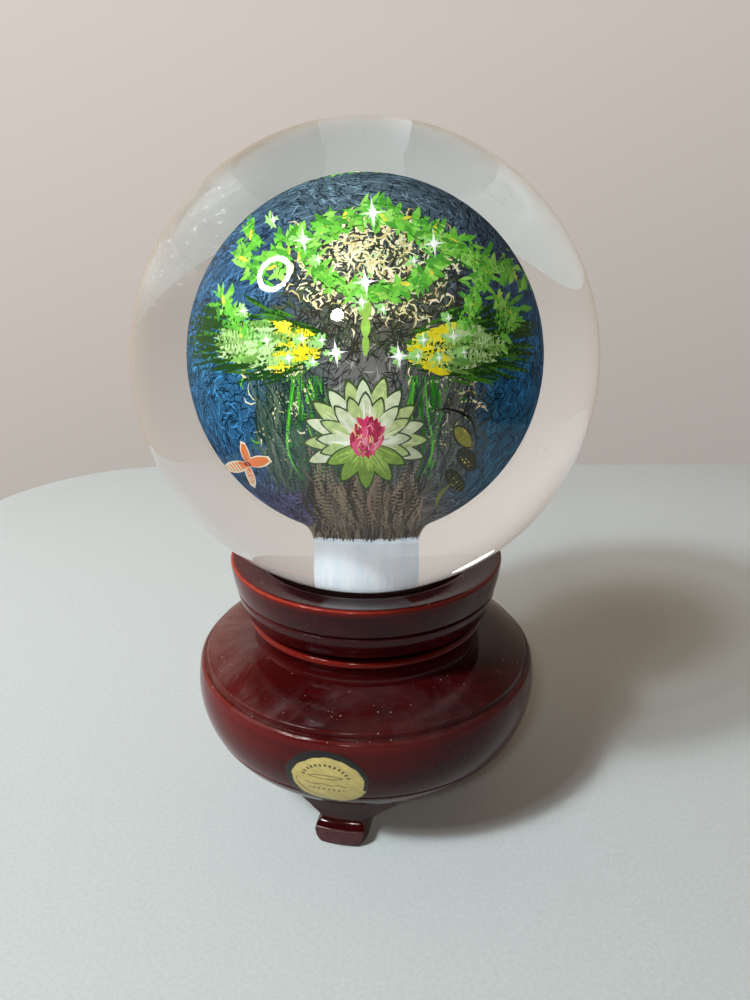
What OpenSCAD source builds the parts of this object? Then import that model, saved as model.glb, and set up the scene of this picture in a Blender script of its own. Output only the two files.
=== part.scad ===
// Inside-painted crystal ball on a turned, lacquered stand whose cup swivels.
// Origin: centre of the circle of feet, on the surface they stand on. +Z is up.
// The front is -Y. The ball rests loose on a felt ring in the cup.

/* [Ball] */
// Outside diameter of the glass ball
ball_d = 127; // [124:0.5:128]
// Diameter of the bulb-shaped cavity at the centre of the glass
cavity_d = 65.4; // [54:0.2:70]
// Height of the centre of the cavity above the centre of the ball
cavity_up = 1; // [0:0.1:2]
// Bore of the neck between the cavity and the underside of the ball
neck_bore_d = 19.6; // [14:0.2:22]
// Radius of the rounding where the cavity runs into the neck bore
neck_round = 4; // [2:0.5:6]
// Diameter of the flat ground on the underside of the ball
ball_flat_d = 25; // [24:0.5:30]
// Thickness of the paint film on the wall of the cavity
paint_t = 0.4; // [0.2:0.1:0.6]

/* [Cup] */
// Diameter of the cup at its rim
cup_rim_d = 82.4; // [80:0.2:86]
// Diameter of the cup at its underside
cup_foot_d = 75.8; // [72:0.2:78]
// Height of the cup from its underside to its rim
cup_h = 16.1; // [15.6:0.1:18]
// Diameter of the mouth of the seat that the ball sinks into
seat_mouth_d = 65.6; // [62:0.2:68]
// Gap between the ball and the wooden seat, filled by the felt ring
seat_gap = 1.6; // [1.2:0.1:2]
// Inner diameter of the felt ring
felt_in_d = 41; // [38:0.5:46]
// Outer diameter of the felt ring
felt_out_d = 60; // [54:0.5:61]

/* [Swivel] */
// Visible gap between the cup and the neck of the stand
swivel_gap = 2.2; // [2:0.1:3]
// Number of balls in the thrust bearing
bearing_ball_count = 12; // [8:1:14]
// Pitch circle diameter of the bearing balls
bearing_pitch_d = 38; // [36:0.5:40]
// Diameter of the shank of the pivot bolt
pivot_d = 5; // [4:0.5:5]

/* [Stand] */
// Height of the feet, up to the base plate
foot_h = 16; // [14:0.5:18]
// Thickness of the base plate
plate_t = 3.2; // [2.8:0.1:4]
// Diameter of the bowl-shaped body at its widest
body_d = 106.6; // [104:0.2:110]
// Height of the body from the base plate to the foot of the neck
body_h = 32.9; // [32:0.1:36]
// Diameter of the neck at its upper edge
neck_d = 73.2; // [71:0.2:75]
// Height of the neck above the body
neck_h = 8.5; // [8:0.1:9.5]

/* [Feet] */
// Number of degrees that the front foot is turned from the front, towards the left
foot_turn = 12; // [0:1:30]
// Width of the toe of a foot
toe_w = 15; // [12:0.5:18]
// Width of the narrow part of a foot above the toe
ankle_w = 12.4; // [10:0.2:14]

/* [Label] */
// Width of the oval paper label
label_w = 23.4; // [18:0.2:26]
// Height of the oval paper label
label_h = 19; // [14:0.2:20]

/* [Hidden] */
$fn = 96;

lacquer = [0.32, 0.04, 0.04];
steel = [0.75, 0.76, 0.78];
brass = [0.80, 0.62, 0.28];

// Heights of the main levels of the stand
body_z = foot_h + plate_t;
deck_z = body_z + body_h;
neck_top = deck_z + neck_h;
cup_z = neck_top + swivel_gap;
rim_z = cup_z + cup_h;

// Ball and seat: the seat is a sphere around the centre of the ball
ball_r = ball_d / 2;
seat_r = ball_r + seat_gap;
lip_drop = 0.6;
lip_z = rim_z - lip_drop;
ball_z = lip_z + sqrt(pow(seat_r, 2) - pow(seat_mouth_d / 2, 2));
flat_z = -sqrt(pow(ball_r, 2) - pow(ball_flat_d / 2, 2));
felt_clear = 0.1;
felt_depth = 20;

// Cavity of the ball
cavity_r = cavity_d / 2;
bore_r = neck_bore_d / 2;
round_c = [bore_r + neck_round, -sqrt(pow(cavity_r + neck_round, 2) - pow(bore_r + neck_round, 2))];
paint_end = 1.2;
film_clear = 0.01;

// Well in the floor of the cup, under the mouth of the ball
well_d = 34;
well_z = cup_z + 4;
pivot_head_d = 14;
pivot_head_t = 1.6;
pivot_head_drop = 0.2;
pivot_socket = 4.6;
pivot_socket_depth = 1.1;

// Thrust bearing
race_t = 1;
race_w = 10;
race_sink = 1.7;
race_rise = 1.1;
race_low = neck_top - race_sink + race_t;
race_high = cup_z + race_rise - race_t;
bearing_ball_z = (race_low + race_high) / 2;
bearing_dip = 0.35;
bearing_ball_r = (race_high - race_low) / 2 + bearing_dip;
groove_clear = 0.1;
cage_t = 1.2;
cage_w = 6;
race_clear = 0.15;

// Pivot
pivot_r = pivot_d / 2;
pivot_hole_clear = 0.1;
running_clear = 0.06;
bush_wall = 1.44;
bush_r = pivot_r + running_clear + bush_wall;
bush_flange_r = bush_r + 2.2;
bush_flange_t = 1;
nut_room_d = 36;
nut_room_top = deck_z - 8;
washer_clear = 0.3;
washer_t = 1;
washer_r = 6;
nut_t = 4.5;
nut_across = 8;
pivot_end = 1.2;
washer_top = nut_room_top - washer_clear;

// Joint between neck and body
spigot_drop = 0.5;

// Screws of the base plate
screw_circle_r = 25.5;
screw_r = 1.75;
screw_head_r = 3.5;
screw_head_h = 2;
screw_sink = 0.3;
screw_len = 15;
screw_slot_w = 0.9;
screw_slot_depth = 0.9;

// Feet
foot_angles = [for (i = [0:2]) -90 - foot_turn + 120 * i];
foot_r = 37;
foot_depth = 7.5;
toe_out = 3.8;
toe_h = 5;
wing_t = 0.7;
wing_half = 24;
wing_bow = 0.8;
dowel_r = 2;
dowel_low = 9.5;
dowel_up = 2;
dowel_circle_r = 33;

// Label, on the belly of the body
label_t = 0.15;
label_z = body_z + 15.2;
label_sides = 48;

// Belly and shoulder of the body, as offsets from its widest radius and its foot
belly_r = body_d / 2;
belly_low = [belly_r - 10, body_z];
belly_mid = [belly_r - 2.8, body_z + 7.4];
belly_top = [belly_r - 1.0, body_z + 26.4];
score = [belly_mid[0] + 0.1, belly_mid[1] + 1];
shoulder_top = [belly_r - 1.7, body_z + 27.1];
groove_low = [belly_r - 2.5, body_z + 27.1];
bead_out = [belly_r - 2.9, body_z + 28.1];
bead_in = [belly_r - 3.7, body_z + 29.0];
dome_in = [neck_d / 2 - 1.6, deck_z];

// Points of the arc from p to q that bows out by h to the right of the way from p to q
function bow(p, q, h, n = 12) =
    let (
        way = q - p,
        chord = norm(way),
        right = [way[1], -way[0]] / chord,
        radius = (chord * chord / 4 + h * h) / (2 * h),
        centre = (p + q) / 2 + right * (h - radius),
        start = atan2(p[1] - centre[1], p[0] - centre[0]),
        sweep = 2 * asin(chord / (2 * abs(radius))) * sign(h)
    )
    [for (i = [0:n]) centre + abs(radius) * [cos(start + sweep * i / n), sin(start + sweep * i / n)]];

// Points on the arc around c with radius r, between two angles
function arc(c, r, from, to, n) =
    [for (i = [0:n]) let (a = from + (to - from) * i / n) c + r * [cos(a), sin(a)]];

// Points of an oval, going round once
function oval(w, h, n) = [for (i = [0:n - 1]) [w / 2 * cos(360 * i / n), h / 2 * sin(360 * i / n)]];

// Ring of rectangular section between two radii and two heights
module ring(r_in, r_out, low, high) {
    rotate_extrude() translate([r_in, low]) square([r_out - r_in, high - low]);
}

// Half profile of the cavity and the neck bore, around the centre of the cavity
module cavity_profile() {
    seam = round_c * cavity_r / norm(round_c);
    intersection() {
        union() {
            circle(r = cavity_r);
            translate([0, -2 * ball_r]) square([bore_r, 2 * ball_r]);
            difference() {
                polygon([[0, 0], seam, round_c, [0, round_c[1]]]);
                translate(round_c) circle(r = neck_round);
            }
        }
        translate([0, -2 * ball_r]) square([cavity_r + 1, 4 * ball_r]);
    }
}

module glass_ball() {
    color([0.86, 0.92, 0.92, 0.35]) translate([0, 0, ball_z]) rotate_extrude() difference() {
        intersection() {
            circle(r = ball_r);
            translate([0, flat_z]) square([ball_r + 1, 2 * ball_r]);
        }
        translate([0, cavity_up]) cavity_profile();
    }
}

// Paint film on the wall of the cavity, down to the start of the neck bore
module inner_painting() {
    seam_a = atan2(round_c[1], round_c[0]);
    end_a = 180 - asin(paint_end / neck_round);
    color([0.20, 0.45, 0.30]) translate([0, 0, ball_z + cavity_up]) rotate_extrude() polygon(concat(
        arc([0, 0], cavity_r, 90, seam_a, 36),
        arc(round_c, neck_round + film_clear, seam_a + 180, end_a, 8),
        arc(round_c, neck_round + paint_t, end_a, seam_a + 180, 8),
        arc([0, 0], cavity_r - paint_t, seam_a, 90, 36)
    ));
}

module felt_ring() {
    color([0.08, 0.07, 0.07]) rotate_extrude() intersection() {
        translate([0, ball_z]) difference() {
            circle(r = seat_r);
            circle(r = ball_r + felt_clear);
        }
        translate([felt_in_d / 2, lip_z - felt_depth]) square([(felt_out_d - felt_in_d) / 2, felt_depth]);
    }
}

// Outline of the cup: underside, bead, groove, flared wall, rolled rim and dished top
module cup_profile() {
    foot_out = cup_foot_d / 2;
    rim_out = cup_rim_d / 2;
    bead_top = [foot_out + 1.9, cup_z + 6.7];
    groove_in = [foot_out + 1.1, cup_z + 7.1];
    wall_low = [foot_out + 2.1, cup_z + 7.6];
    wall_high = [rim_out, rim_z - 0.9];
    rim_in = [rim_out - 1, rim_z];
    polygon(concat(
        [[0, cup_z], [foot_out - 0.8, cup_z]],
        bow([foot_out - 0.4, cup_z + 0.1], [foot_out + 0.2, cup_z + 0.8], 0.15, 4),
        bow([foot_out + 0.3, cup_z + 1.2], bead_top, 0.25, 8),
        [groove_in],
        bow(wall_low, wall_high, 0.2, 8),
        bow([rim_out, rim_z - 0.8], rim_in, 0.28, 6),
        bow([rim_out - 1.4, rim_z], [seat_mouth_d / 2 + 0.6, lip_z], -0.25, 8),
        [[seat_mouth_d / 2 - 1, lip_z], [0, lip_z]]
    ));
}

module cup() {
    color(lacquer) rotate_extrude() difference() {
        cup_profile();
        translate([0, ball_z]) intersection() {
            circle(r = seat_r);
            translate([0, -seat_r]) square([seat_r, seat_r]);
        }
        translate([0, well_z]) square([well_d / 2, cup_h]);
        translate([0, well_z - pivot_head_t - pivot_head_drop]) square([pivot_head_d / 2 + 0.2, cup_h]);
        translate([0, cup_z - 1]) square([pivot_r + pivot_hole_clear, cup_h]);
        translate([(bearing_pitch_d - race_w) / 2 - race_clear, cup_z - 1])
            square([race_w + 2 * race_clear, 1 + race_rise]);
    }
}

module pivot_bolt() {
    head_z = well_z - pivot_head_t - pivot_head_drop;
    end_z = washer_top - washer_t - nut_t - pivot_end;
    color(steel) difference() {
        union() {
            translate([0, 0, head_z]) cylinder(d = pivot_head_d, h = pivot_head_t);
            translate([0, 0, end_z]) cylinder(r = pivot_r, h = head_z - end_z + pivot_head_t / 2);
        }
        translate([0, 0, head_z + pivot_head_t - pivot_socket_depth])
            cylinder(d = pivot_socket, h = pivot_head_t, $fn = 6);
    }
}

module pivot_washer() {
    color(steel) ring(pivot_r, washer_r, washer_top - washer_t, washer_top);
}

module lock_nut() {
    color(steel) translate([0, 0, washer_top - washer_t - nut_t]) difference() {
        cylinder(d = nut_across / cos(30), h = nut_t, $fn = 6);
        translate([0, 0, -1]) cylinder(r = pivot_r, h = nut_t + 2);
    }
}

// Half section of a grooved race plate, from low to high, facing the bearing balls
module race_profile(low) {
    difference() {
        translate([(bearing_pitch_d - race_w) / 2, low]) square([race_w, race_t]);
        translate([bearing_pitch_d / 2, bearing_ball_z]) circle(r = bearing_ball_r + groove_clear);
    }
}

module upper_race() {
    color(steel) rotate_extrude() race_profile(race_high);
}

module lower_race() {
    color(steel) rotate_extrude() race_profile(race_low - race_t);
}

// Places a child at each ball of the bearing
module at_bearing_balls() {
    for (i = [0:bearing_ball_count - 1])
        rotate([0, 0, 360 * i / bearing_ball_count]) translate([bearing_pitch_d / 2, 0, bearing_ball_z]) children();
}

module bearing_balls() {
    color([0.85, 0.86, 0.88]) at_bearing_balls() sphere(r = bearing_ball_r, $fn = 32);
}

module bearing_cage() {
    color(brass) difference() {
        ring((bearing_pitch_d - cage_w) / 2, (bearing_pitch_d + cage_w) / 2,
             bearing_ball_z - cage_t / 2, bearing_ball_z + cage_t / 2);
        at_bearing_balls() translate([0, 0, -cage_t]) cylinder(r = bearing_ball_r + groove_clear, h = 2 * cage_t);
    }
}

module pivot_bush() {
    color(brass) union() {
        ring(pivot_r + running_clear, bush_r, nut_room_top, neck_top - bush_flange_t / 2);
        ring(pivot_r + running_clear, bush_flange_r, neck_top - bush_flange_t, neck_top);
    }
}

// Neck of the stand: rolled upper edge over a cove
module neck() {
    edge = neck_d / 2;
    foot_z = deck_z - spigot_drop;
    color(lacquer) rotate_extrude() difference() {
        polygon(concat(
            [[0, foot_z], [edge - 1.6, foot_z], [edge - 1.6, deck_z]],
            bow([edge - 1.2, deck_z + 0.1], [edge - 0.5, neck_top - 2.4], -0.9, 10),
            bow([edge - 0.1, neck_top - 1.8], [edge - 1.0, neck_top], 0.4, 8),
            [[0, neck_top]]
        ));
        translate([0, foot_z - 1]) square([bush_r, neck_h + spigot_drop + 2]);
        translate([0, neck_top - bush_flange_t]) square([bush_flange_r, neck_h]);
        translate([(bearing_pitch_d - race_w) / 2 - race_clear, neck_top - race_sink])
            square([race_w + 2 * race_clear, neck_h]);
    }
}

// Belly of the body from its foot to the shoulder groove
function belly_points() = concat(
    bow(belly_low, belly_mid, 0.8, 8),
    bow(belly_mid, belly_top, 1.764, 18)
);

module body_profile() {
    difference() {
        polygon(concat(
            [[0, body_z]],
            belly_points(),
            [shoulder_top, groove_low],
            bow(bead_out, bead_in, 0.25, 5),
            bow(bead_in, dome_in, 1.1, 12),
            [[dome_in[0], deck_z - spigot_drop], [0, deck_z - spigot_drop]]
        ));
        translate(score) polygon([[0, 0], [2, -1.2], [2, 1.2]]);
    }
}

// Places a child at each screw of the base plate, midway between the feet
module at_base_screws() {
    for (a = foot_angles) rotate([0, 0, a + 60]) translate([screw_circle_r, 0, 0]) children();
}

module body() {
    color(lacquer) difference() {
        rotate_extrude() difference() {
            body_profile();
            translate([0, body_z - 1]) square([nut_room_d / 2, nut_room_top - body_z + 1]);
            translate([0, body_z]) square([bush_r, body_h]);
        }
        at_base_screws() translate([0, 0, foot_h - 1]) cylinder(r = screw_r, h = screw_len + screw_sink + 1);
    }
}

// Base plate with a rolled lower edge
module base_plate() {
    edge = belly_low[0] - 0.9;
    color(lacquer) difference() {
        rotate_extrude() polygon(concat(
            [[0, foot_h], [edge - 3, foot_h]],
            bow([edge - 2.6, foot_h + 0.05], [edge, body_z - 0.8], 0.5, 8),
            [[edge - 0.5, body_z], [0, body_z]]
        ));
        at_base_screws() base_screw_solid(false);
        at_dowels() cylinder(r = dowel_r, h = foot_h + dowel_up - dowel_low);
    }
}

// Countersunk wood screw, or the hole for one without its slot
module base_screw_solid(slotted) {
    head_z = foot_h + screw_sink;
    difference() {
        union() {
            translate([0, 0, slotted ? head_z : foot_h - 1])
                cylinder(r = screw_head_r, h = slotted ? 0.4 : 1.4 + screw_sink);
            translate([0, 0, head_z + 0.4]) cylinder(r1 = screw_head_r, r2 = screw_r, h = screw_head_h - 0.4);
            translate([0, 0, head_z]) cylinder(r = screw_r, h = screw_len);
        }
        if (slotted) translate([-screw_head_r, -screw_slot_w / 2, head_z - 1])
            cube([2 * screw_head_r, screw_slot_w, 1 + screw_slot_depth]);
    }
}

module base_screws() {
    color(steel) at_base_screws() base_screw_solid(true);
}

// Half section of a foot: ankle under the plate, cove, and a blunt toe turned outwards
module foot_profile() {
    toe = foot_r + toe_out;
    polygon(concat(
        [[foot_r - foot_depth, foot_h]],
        bow([foot_r - foot_depth, foot_h - 1], [foot_r - foot_depth + 3, 0], -0.5, 8),
        bow([toe - 0.9, 0], [toe - 0.1, 0.8], 0.2, 4),
        bow([toe, 1.2], [toe - 0.6, toe_h], 0.15, 5),
        bow([toe - 1.2, toe_h + 0.4], [foot_r + 0.2, toe_h + 3.2], -0.8, 8),
        [[foot_r, toe_h + 4], [foot_r, foot_h]]
    ));
}

// Front outline of a foot: wings that sweep up to the plate, a narrow ankle and a wider toe
module foot_outline() {
    ankle = ankle_w / 2;
    toe = toe_w / 2;
    tip_z = foot_h - wing_t;
    polygon(concat(
        [[wing_half, foot_h], [-wing_half, foot_h]],
        bow([-wing_half, tip_z], [-ankle, toe_h + 1.9], -wing_bow, 8),
        [[-ankle, toe_h + 1.4]],
        bow([-toe, toe_h], [-toe + 2.6, 0], 0.7, 5),
        bow([toe - 2.6, 0], [toe, toe_h], 0.7, 5),
        [[ankle, toe_h + 1.4]],
        bow([ankle, toe_h + 1.9], [wing_half, tip_z], -wing_bow, 8)
    ));
}

module foot(angle) {
    color(lacquer) difference() {
        intersection() {
            rotate([0, 0, angle - 60]) rotate_extrude(angle = 120) foot_profile();
            rotate([0, 0, angle]) rotate([90, 0, 90]) linear_extrude(foot_r + toe_out + 5) foot_outline();
        }
        rotate([0, 0, angle]) translate([dowel_circle_r, 0, dowel_low]) cylinder(r = dowel_r, h = foot_h);
    }
}

module foot_front() {
    foot(foot_angles[0]);
}

module foot_right() {
    foot(foot_angles[1]);
}

module foot_left() {
    foot(foot_angles[2]);
}

// Places a child at each dowel between a foot and the base plate
module at_dowels() {
    for (a = foot_angles) rotate([0, 0, a]) translate([dowel_circle_r, 0, dowel_low]) children();
}

module foot_dowels() {
    color([0.75, 0.60, 0.40]) at_dowels() cylinder(r = dowel_r, h = foot_h + dowel_up - dowel_low);
}

// Oval paper label bent round the belly of the body, above the front foot
module label() {
    low = label_z - label_h;
    color([0.85, 0.75, 0.40]) intersection() {
        rotate([0, 0, foot_angles[0] - 30]) rotate_extrude(angle = 60) intersection() {
            difference() {
                translate([label_t, 0]) polygon(concat([[0, body_z]], belly_points(), [[0, belly_top[1]]]));
                polygon(concat([[0, body_z]], belly_points(), [[0, belly_top[1]]]));
            }
            translate([belly_r / 2, low]) square([belly_r, 2 * label_h]);
        }
        rotate([0, 0, foot_angles[0]]) translate([belly_r / 2, 0, label_z]) rotate([90, 0, 90])
            linear_extrude(belly_r) polygon(oval(label_w, label_h, label_sides));
    }
}

glass_ball();
inner_painting();
felt_ring();
cup();
pivot_bolt();
pivot_washer();
lock_nut();
upper_race();
bearing_balls();
bearing_cage();
lower_race();
pivot_bush();
neck();
body();
base_plate();
base_screws();
foot_front();
foot_right();
foot_left();
foot_dowels();
label();
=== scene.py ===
import math

import bmesh
import bpy
import numpy as np
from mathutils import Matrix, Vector

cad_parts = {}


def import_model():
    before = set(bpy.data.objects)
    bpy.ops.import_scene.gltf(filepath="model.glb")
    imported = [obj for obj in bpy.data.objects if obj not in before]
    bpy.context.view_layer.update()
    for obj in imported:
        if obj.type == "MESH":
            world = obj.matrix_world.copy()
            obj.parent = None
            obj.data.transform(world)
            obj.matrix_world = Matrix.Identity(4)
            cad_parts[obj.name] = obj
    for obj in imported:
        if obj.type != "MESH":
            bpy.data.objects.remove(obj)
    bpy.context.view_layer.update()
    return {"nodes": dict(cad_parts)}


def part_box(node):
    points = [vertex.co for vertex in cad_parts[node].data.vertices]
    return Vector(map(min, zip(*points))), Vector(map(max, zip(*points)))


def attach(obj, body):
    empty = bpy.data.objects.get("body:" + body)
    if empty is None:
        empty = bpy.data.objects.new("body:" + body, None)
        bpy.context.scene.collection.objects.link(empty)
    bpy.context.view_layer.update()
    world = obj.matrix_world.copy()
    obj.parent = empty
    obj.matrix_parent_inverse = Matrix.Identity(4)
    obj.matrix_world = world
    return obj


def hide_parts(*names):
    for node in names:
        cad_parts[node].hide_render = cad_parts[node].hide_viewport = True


# A thick glass ball painted on the inside, loose in the cup of a turned, lacquered stand.
# Sizes are in millimetres in the frame of the CAD model, and MM turns them into Blender's metres.

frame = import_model()
nodes = frame["nodes"]

MM = 0.001
rng = np.random.default_rng(41)


# ---------------------------------------------------------------- sizes from the CAD model

def size(node):
    """Half width, lowest and highest level of a CAD node, in millimetres."""
    low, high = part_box(node)
    return (high.x - low.x) / 2 / MM, low.z / MM, high.z / MM


BALL_R, BALL_LOW, BALL_TOP = size("glass_ball")
BALL_Z = BALL_TOP - BALL_R
FLAT_Z = BALL_LOW - BALL_Z
FLAT_R = math.sqrt(BALL_R ** 2 - FLAT_Z ** 2)
CAVITY_R, PAINT_LOW, PAINT_HIGH = size("inner_painting")
CAVITY_Z = PAINT_HIGH - CAVITY_R
PAINT_END = PAINT_LOW - CAVITY_Z
CUP_R, CUP_Z, RIM_Z = size("cup")
NECK_R, _, NECK_TOP = size("neck")
BODY_R, BODY_Z, DECK_Z = size("body")

BORE_R = 9.8
NECK_ROUND = 4.0
ROUND_C = (BORE_R + NECK_ROUND, -math.sqrt((CAVITY_R + NECK_ROUND) ** 2 - (BORE_R + NECK_ROUND) ** 2))
FILM_T = 0.4
SKIN = 0.03
CUP_FOOT_R = CUP_R - 3.3
SEAT_R = BALL_R + 1.6
SEAT_MOUTH_R = 32.8
LIP_Z = RIM_Z - 0.6
WELL_R, WELL_Z = 17.0, CUP_Z + 4
HEAD_R, HEAD_SEAT_Z = 7.2, CUP_Z + 2.2
PIVOT_HOLE_R = 2.6
RACE_IN, RACE_OUT = 13.85, 24.15
BUSH_R, BUSH_FLANGE_R = 4.0, 6.2
NUT_ROOM_R, NUT_ROOM_TOP = 18.0, DECK_Z - 8
LABEL_W, LABEL_H, LABEL_Z = 23.4, 19.0, BODY_Z + 15.2
LABEL_TURN = math.radians(-102)
SCORE_Z = BODY_Z + 8.4


# ---------------------------------------------------------------- meshes

def make(name, verts, faces, body, replaced, smooth=True):
    """A mesh piece from vertices in millimetres, riding on a CAD body."""
    mesh = bpy.data.meshes.new(name)
    mesh.from_pydata((np.asarray(verts) * MM).tolist(), [], faces)
    mesh.polygons.foreach_set("use_smooth", [smooth] * len(mesh.polygons))
    mesh.validate()
    mesh.update()
    obj = bpy.data.objects.new(name, mesh)
    bpy.context.scene.collection.objects.link(obj)
    if body:
        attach(obj, body)
        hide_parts(replaced)
    return obj


def bow(p, q, h, n=24):
    """Points of the arc from p to q that bows out by h to the right of the way from p to q."""
    p, q = np.array(p, float), np.array(q, float)
    way = q - p
    chord = math.hypot(*way)
    right = np.array([way[1], -way[0]]) / chord
    radius = (chord * chord / 4 + h * h) / (2 * h)
    centre = (p + q) / 2 + right * (h - radius)
    start = math.atan2(p[1] - centre[1], p[0] - centre[0])
    sweep = 2 * math.asin(chord / (2 * abs(radius))) * (1 if h > 0 else -1)
    turns = start + sweep * np.linspace(0, 1, n + 1)
    return [tuple(centre + abs(radius) * np.array([math.cos(a), math.sin(a)])) for a in turns]


def arc(c, r, start, end, n):
    """Points on the arc around c with radius r, between two angles in degrees."""
    turns = np.radians(np.linspace(start, end, n + 1))
    return [(c[0] + r * math.cos(a), c[1] + r * math.sin(a)) for a in turns]


def rounded(points, sigma, closed=True, step=0.06, turn=3.0, longest=1.0):
    """The profile with its corners rounded by about sigma, as few points as its curves need."""
    p = np.array(points, float)
    if closed:
        p = np.vstack([p, p[:1]])
    lengths = np.hypot(*np.diff(p, axis=0).T)
    p = p[np.r_[True, lengths > 1e-6]]
    s = np.r_[0, np.cumsum(np.hypot(*np.diff(p, axis=0).T))]
    count = max(16, int(s[-1] / step))
    at = np.linspace(0, s[-1], count, endpoint=not closed)
    q = np.stack([np.interp(at, s, p[:, 0]), np.interp(at, s, p[:, 1])], 1)
    pad = min(count - 1, int(4 * sigma / step) + 2)
    if closed:
        wide = np.vstack([q[-pad:], q, q[:pad]])
    else:
        flip = np.array([-1, 1])
        wide = np.vstack([q[1:pad + 1][::-1] * flip, q, q[-pad - 1:-1][::-1] * flip])
    reach = np.arange(-pad, pad + 1) * step
    weight = np.exp(-0.5 * (reach / sigma) ** 2)
    weight /= weight.sum()
    q = np.stack([np.convolve(wide[:, k], weight, "valid") for k in (0, 1)], 1)
    if not closed:
        q[0, 0] = q[-1, 0] = 0.0
    way = np.diff(np.vstack([q, q[:1]]), axis=0)
    heading = np.degrees(np.unwrap(np.arctan2(way[:, 1], way[:, 0])))
    kept, last = [0], 0
    for i in range(1, count - (0 if closed else 1)):
        if abs(heading[i] - heading[last]) > turn or (i - last) * step > longest:
            kept.append(i)
            last = i
    return q[kept + ([] if closed else [count - 1])]


def revolve(name, profile, body, replaced, segments=256, closed=True):
    """The piece that a profile of (radius, height) sweeps round the vertical axis."""
    turns = np.arange(segments) * 2 * math.pi / segments
    ring = np.stack([np.cos(turns), np.sin(turns)], 1)
    verts, rows = [], []
    for r, z in profile:
        start = len(verts)
        if r < 1e-6:
            verts.append((0, 0, z))
            rows.append([start] * segments)
        else:
            verts += [(r * c, r * s, z) for c, s in ring]
            rows.append(list(range(start, start + segments)))
    faces = []
    for low, high in zip(rows, rows[1:] + (rows[:1] if closed else [])):
        for i in range(segments):
            j = (i + 1) % segments
            quad = [low[i], low[j], high[j], high[i]]
            faces.append([v for k, v in enumerate(quad) if v != quad[k - 1]])
    obj = make(name, verts, faces, body, replaced)
    outward(obj)
    return obj


def outward(obj):
    """Turns all faces of a closed mesh to the outside."""
    bm = bmesh.new()
    bm.from_mesh(obj.data)
    bmesh.ops.recalc_face_normals(bm, faces=bm.faces)
    bm.to_mesh(obj.data)
    bm.free()


def paint_points(obj, colours, name="paint"):
    """Stores a linear colour for each vertex."""
    layer = obj.data.color_attributes.new(name, "FLOAT_COLOR", "POINT")
    data = np.ones((len(colours), 4), np.float32)
    data[:, :3] = colours
    layer.data.foreach_set("color", data.ravel())


# ---------------------------------------------------------------- materials

def lin(r, g, b):
    """Linear colour from 0-255 screen values."""
    return tuple(((c / 255 + 0.055) / 1.055) ** 2.4 if c > 10 else c / 255 / 12.92 for c in (r, g, b))


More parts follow.
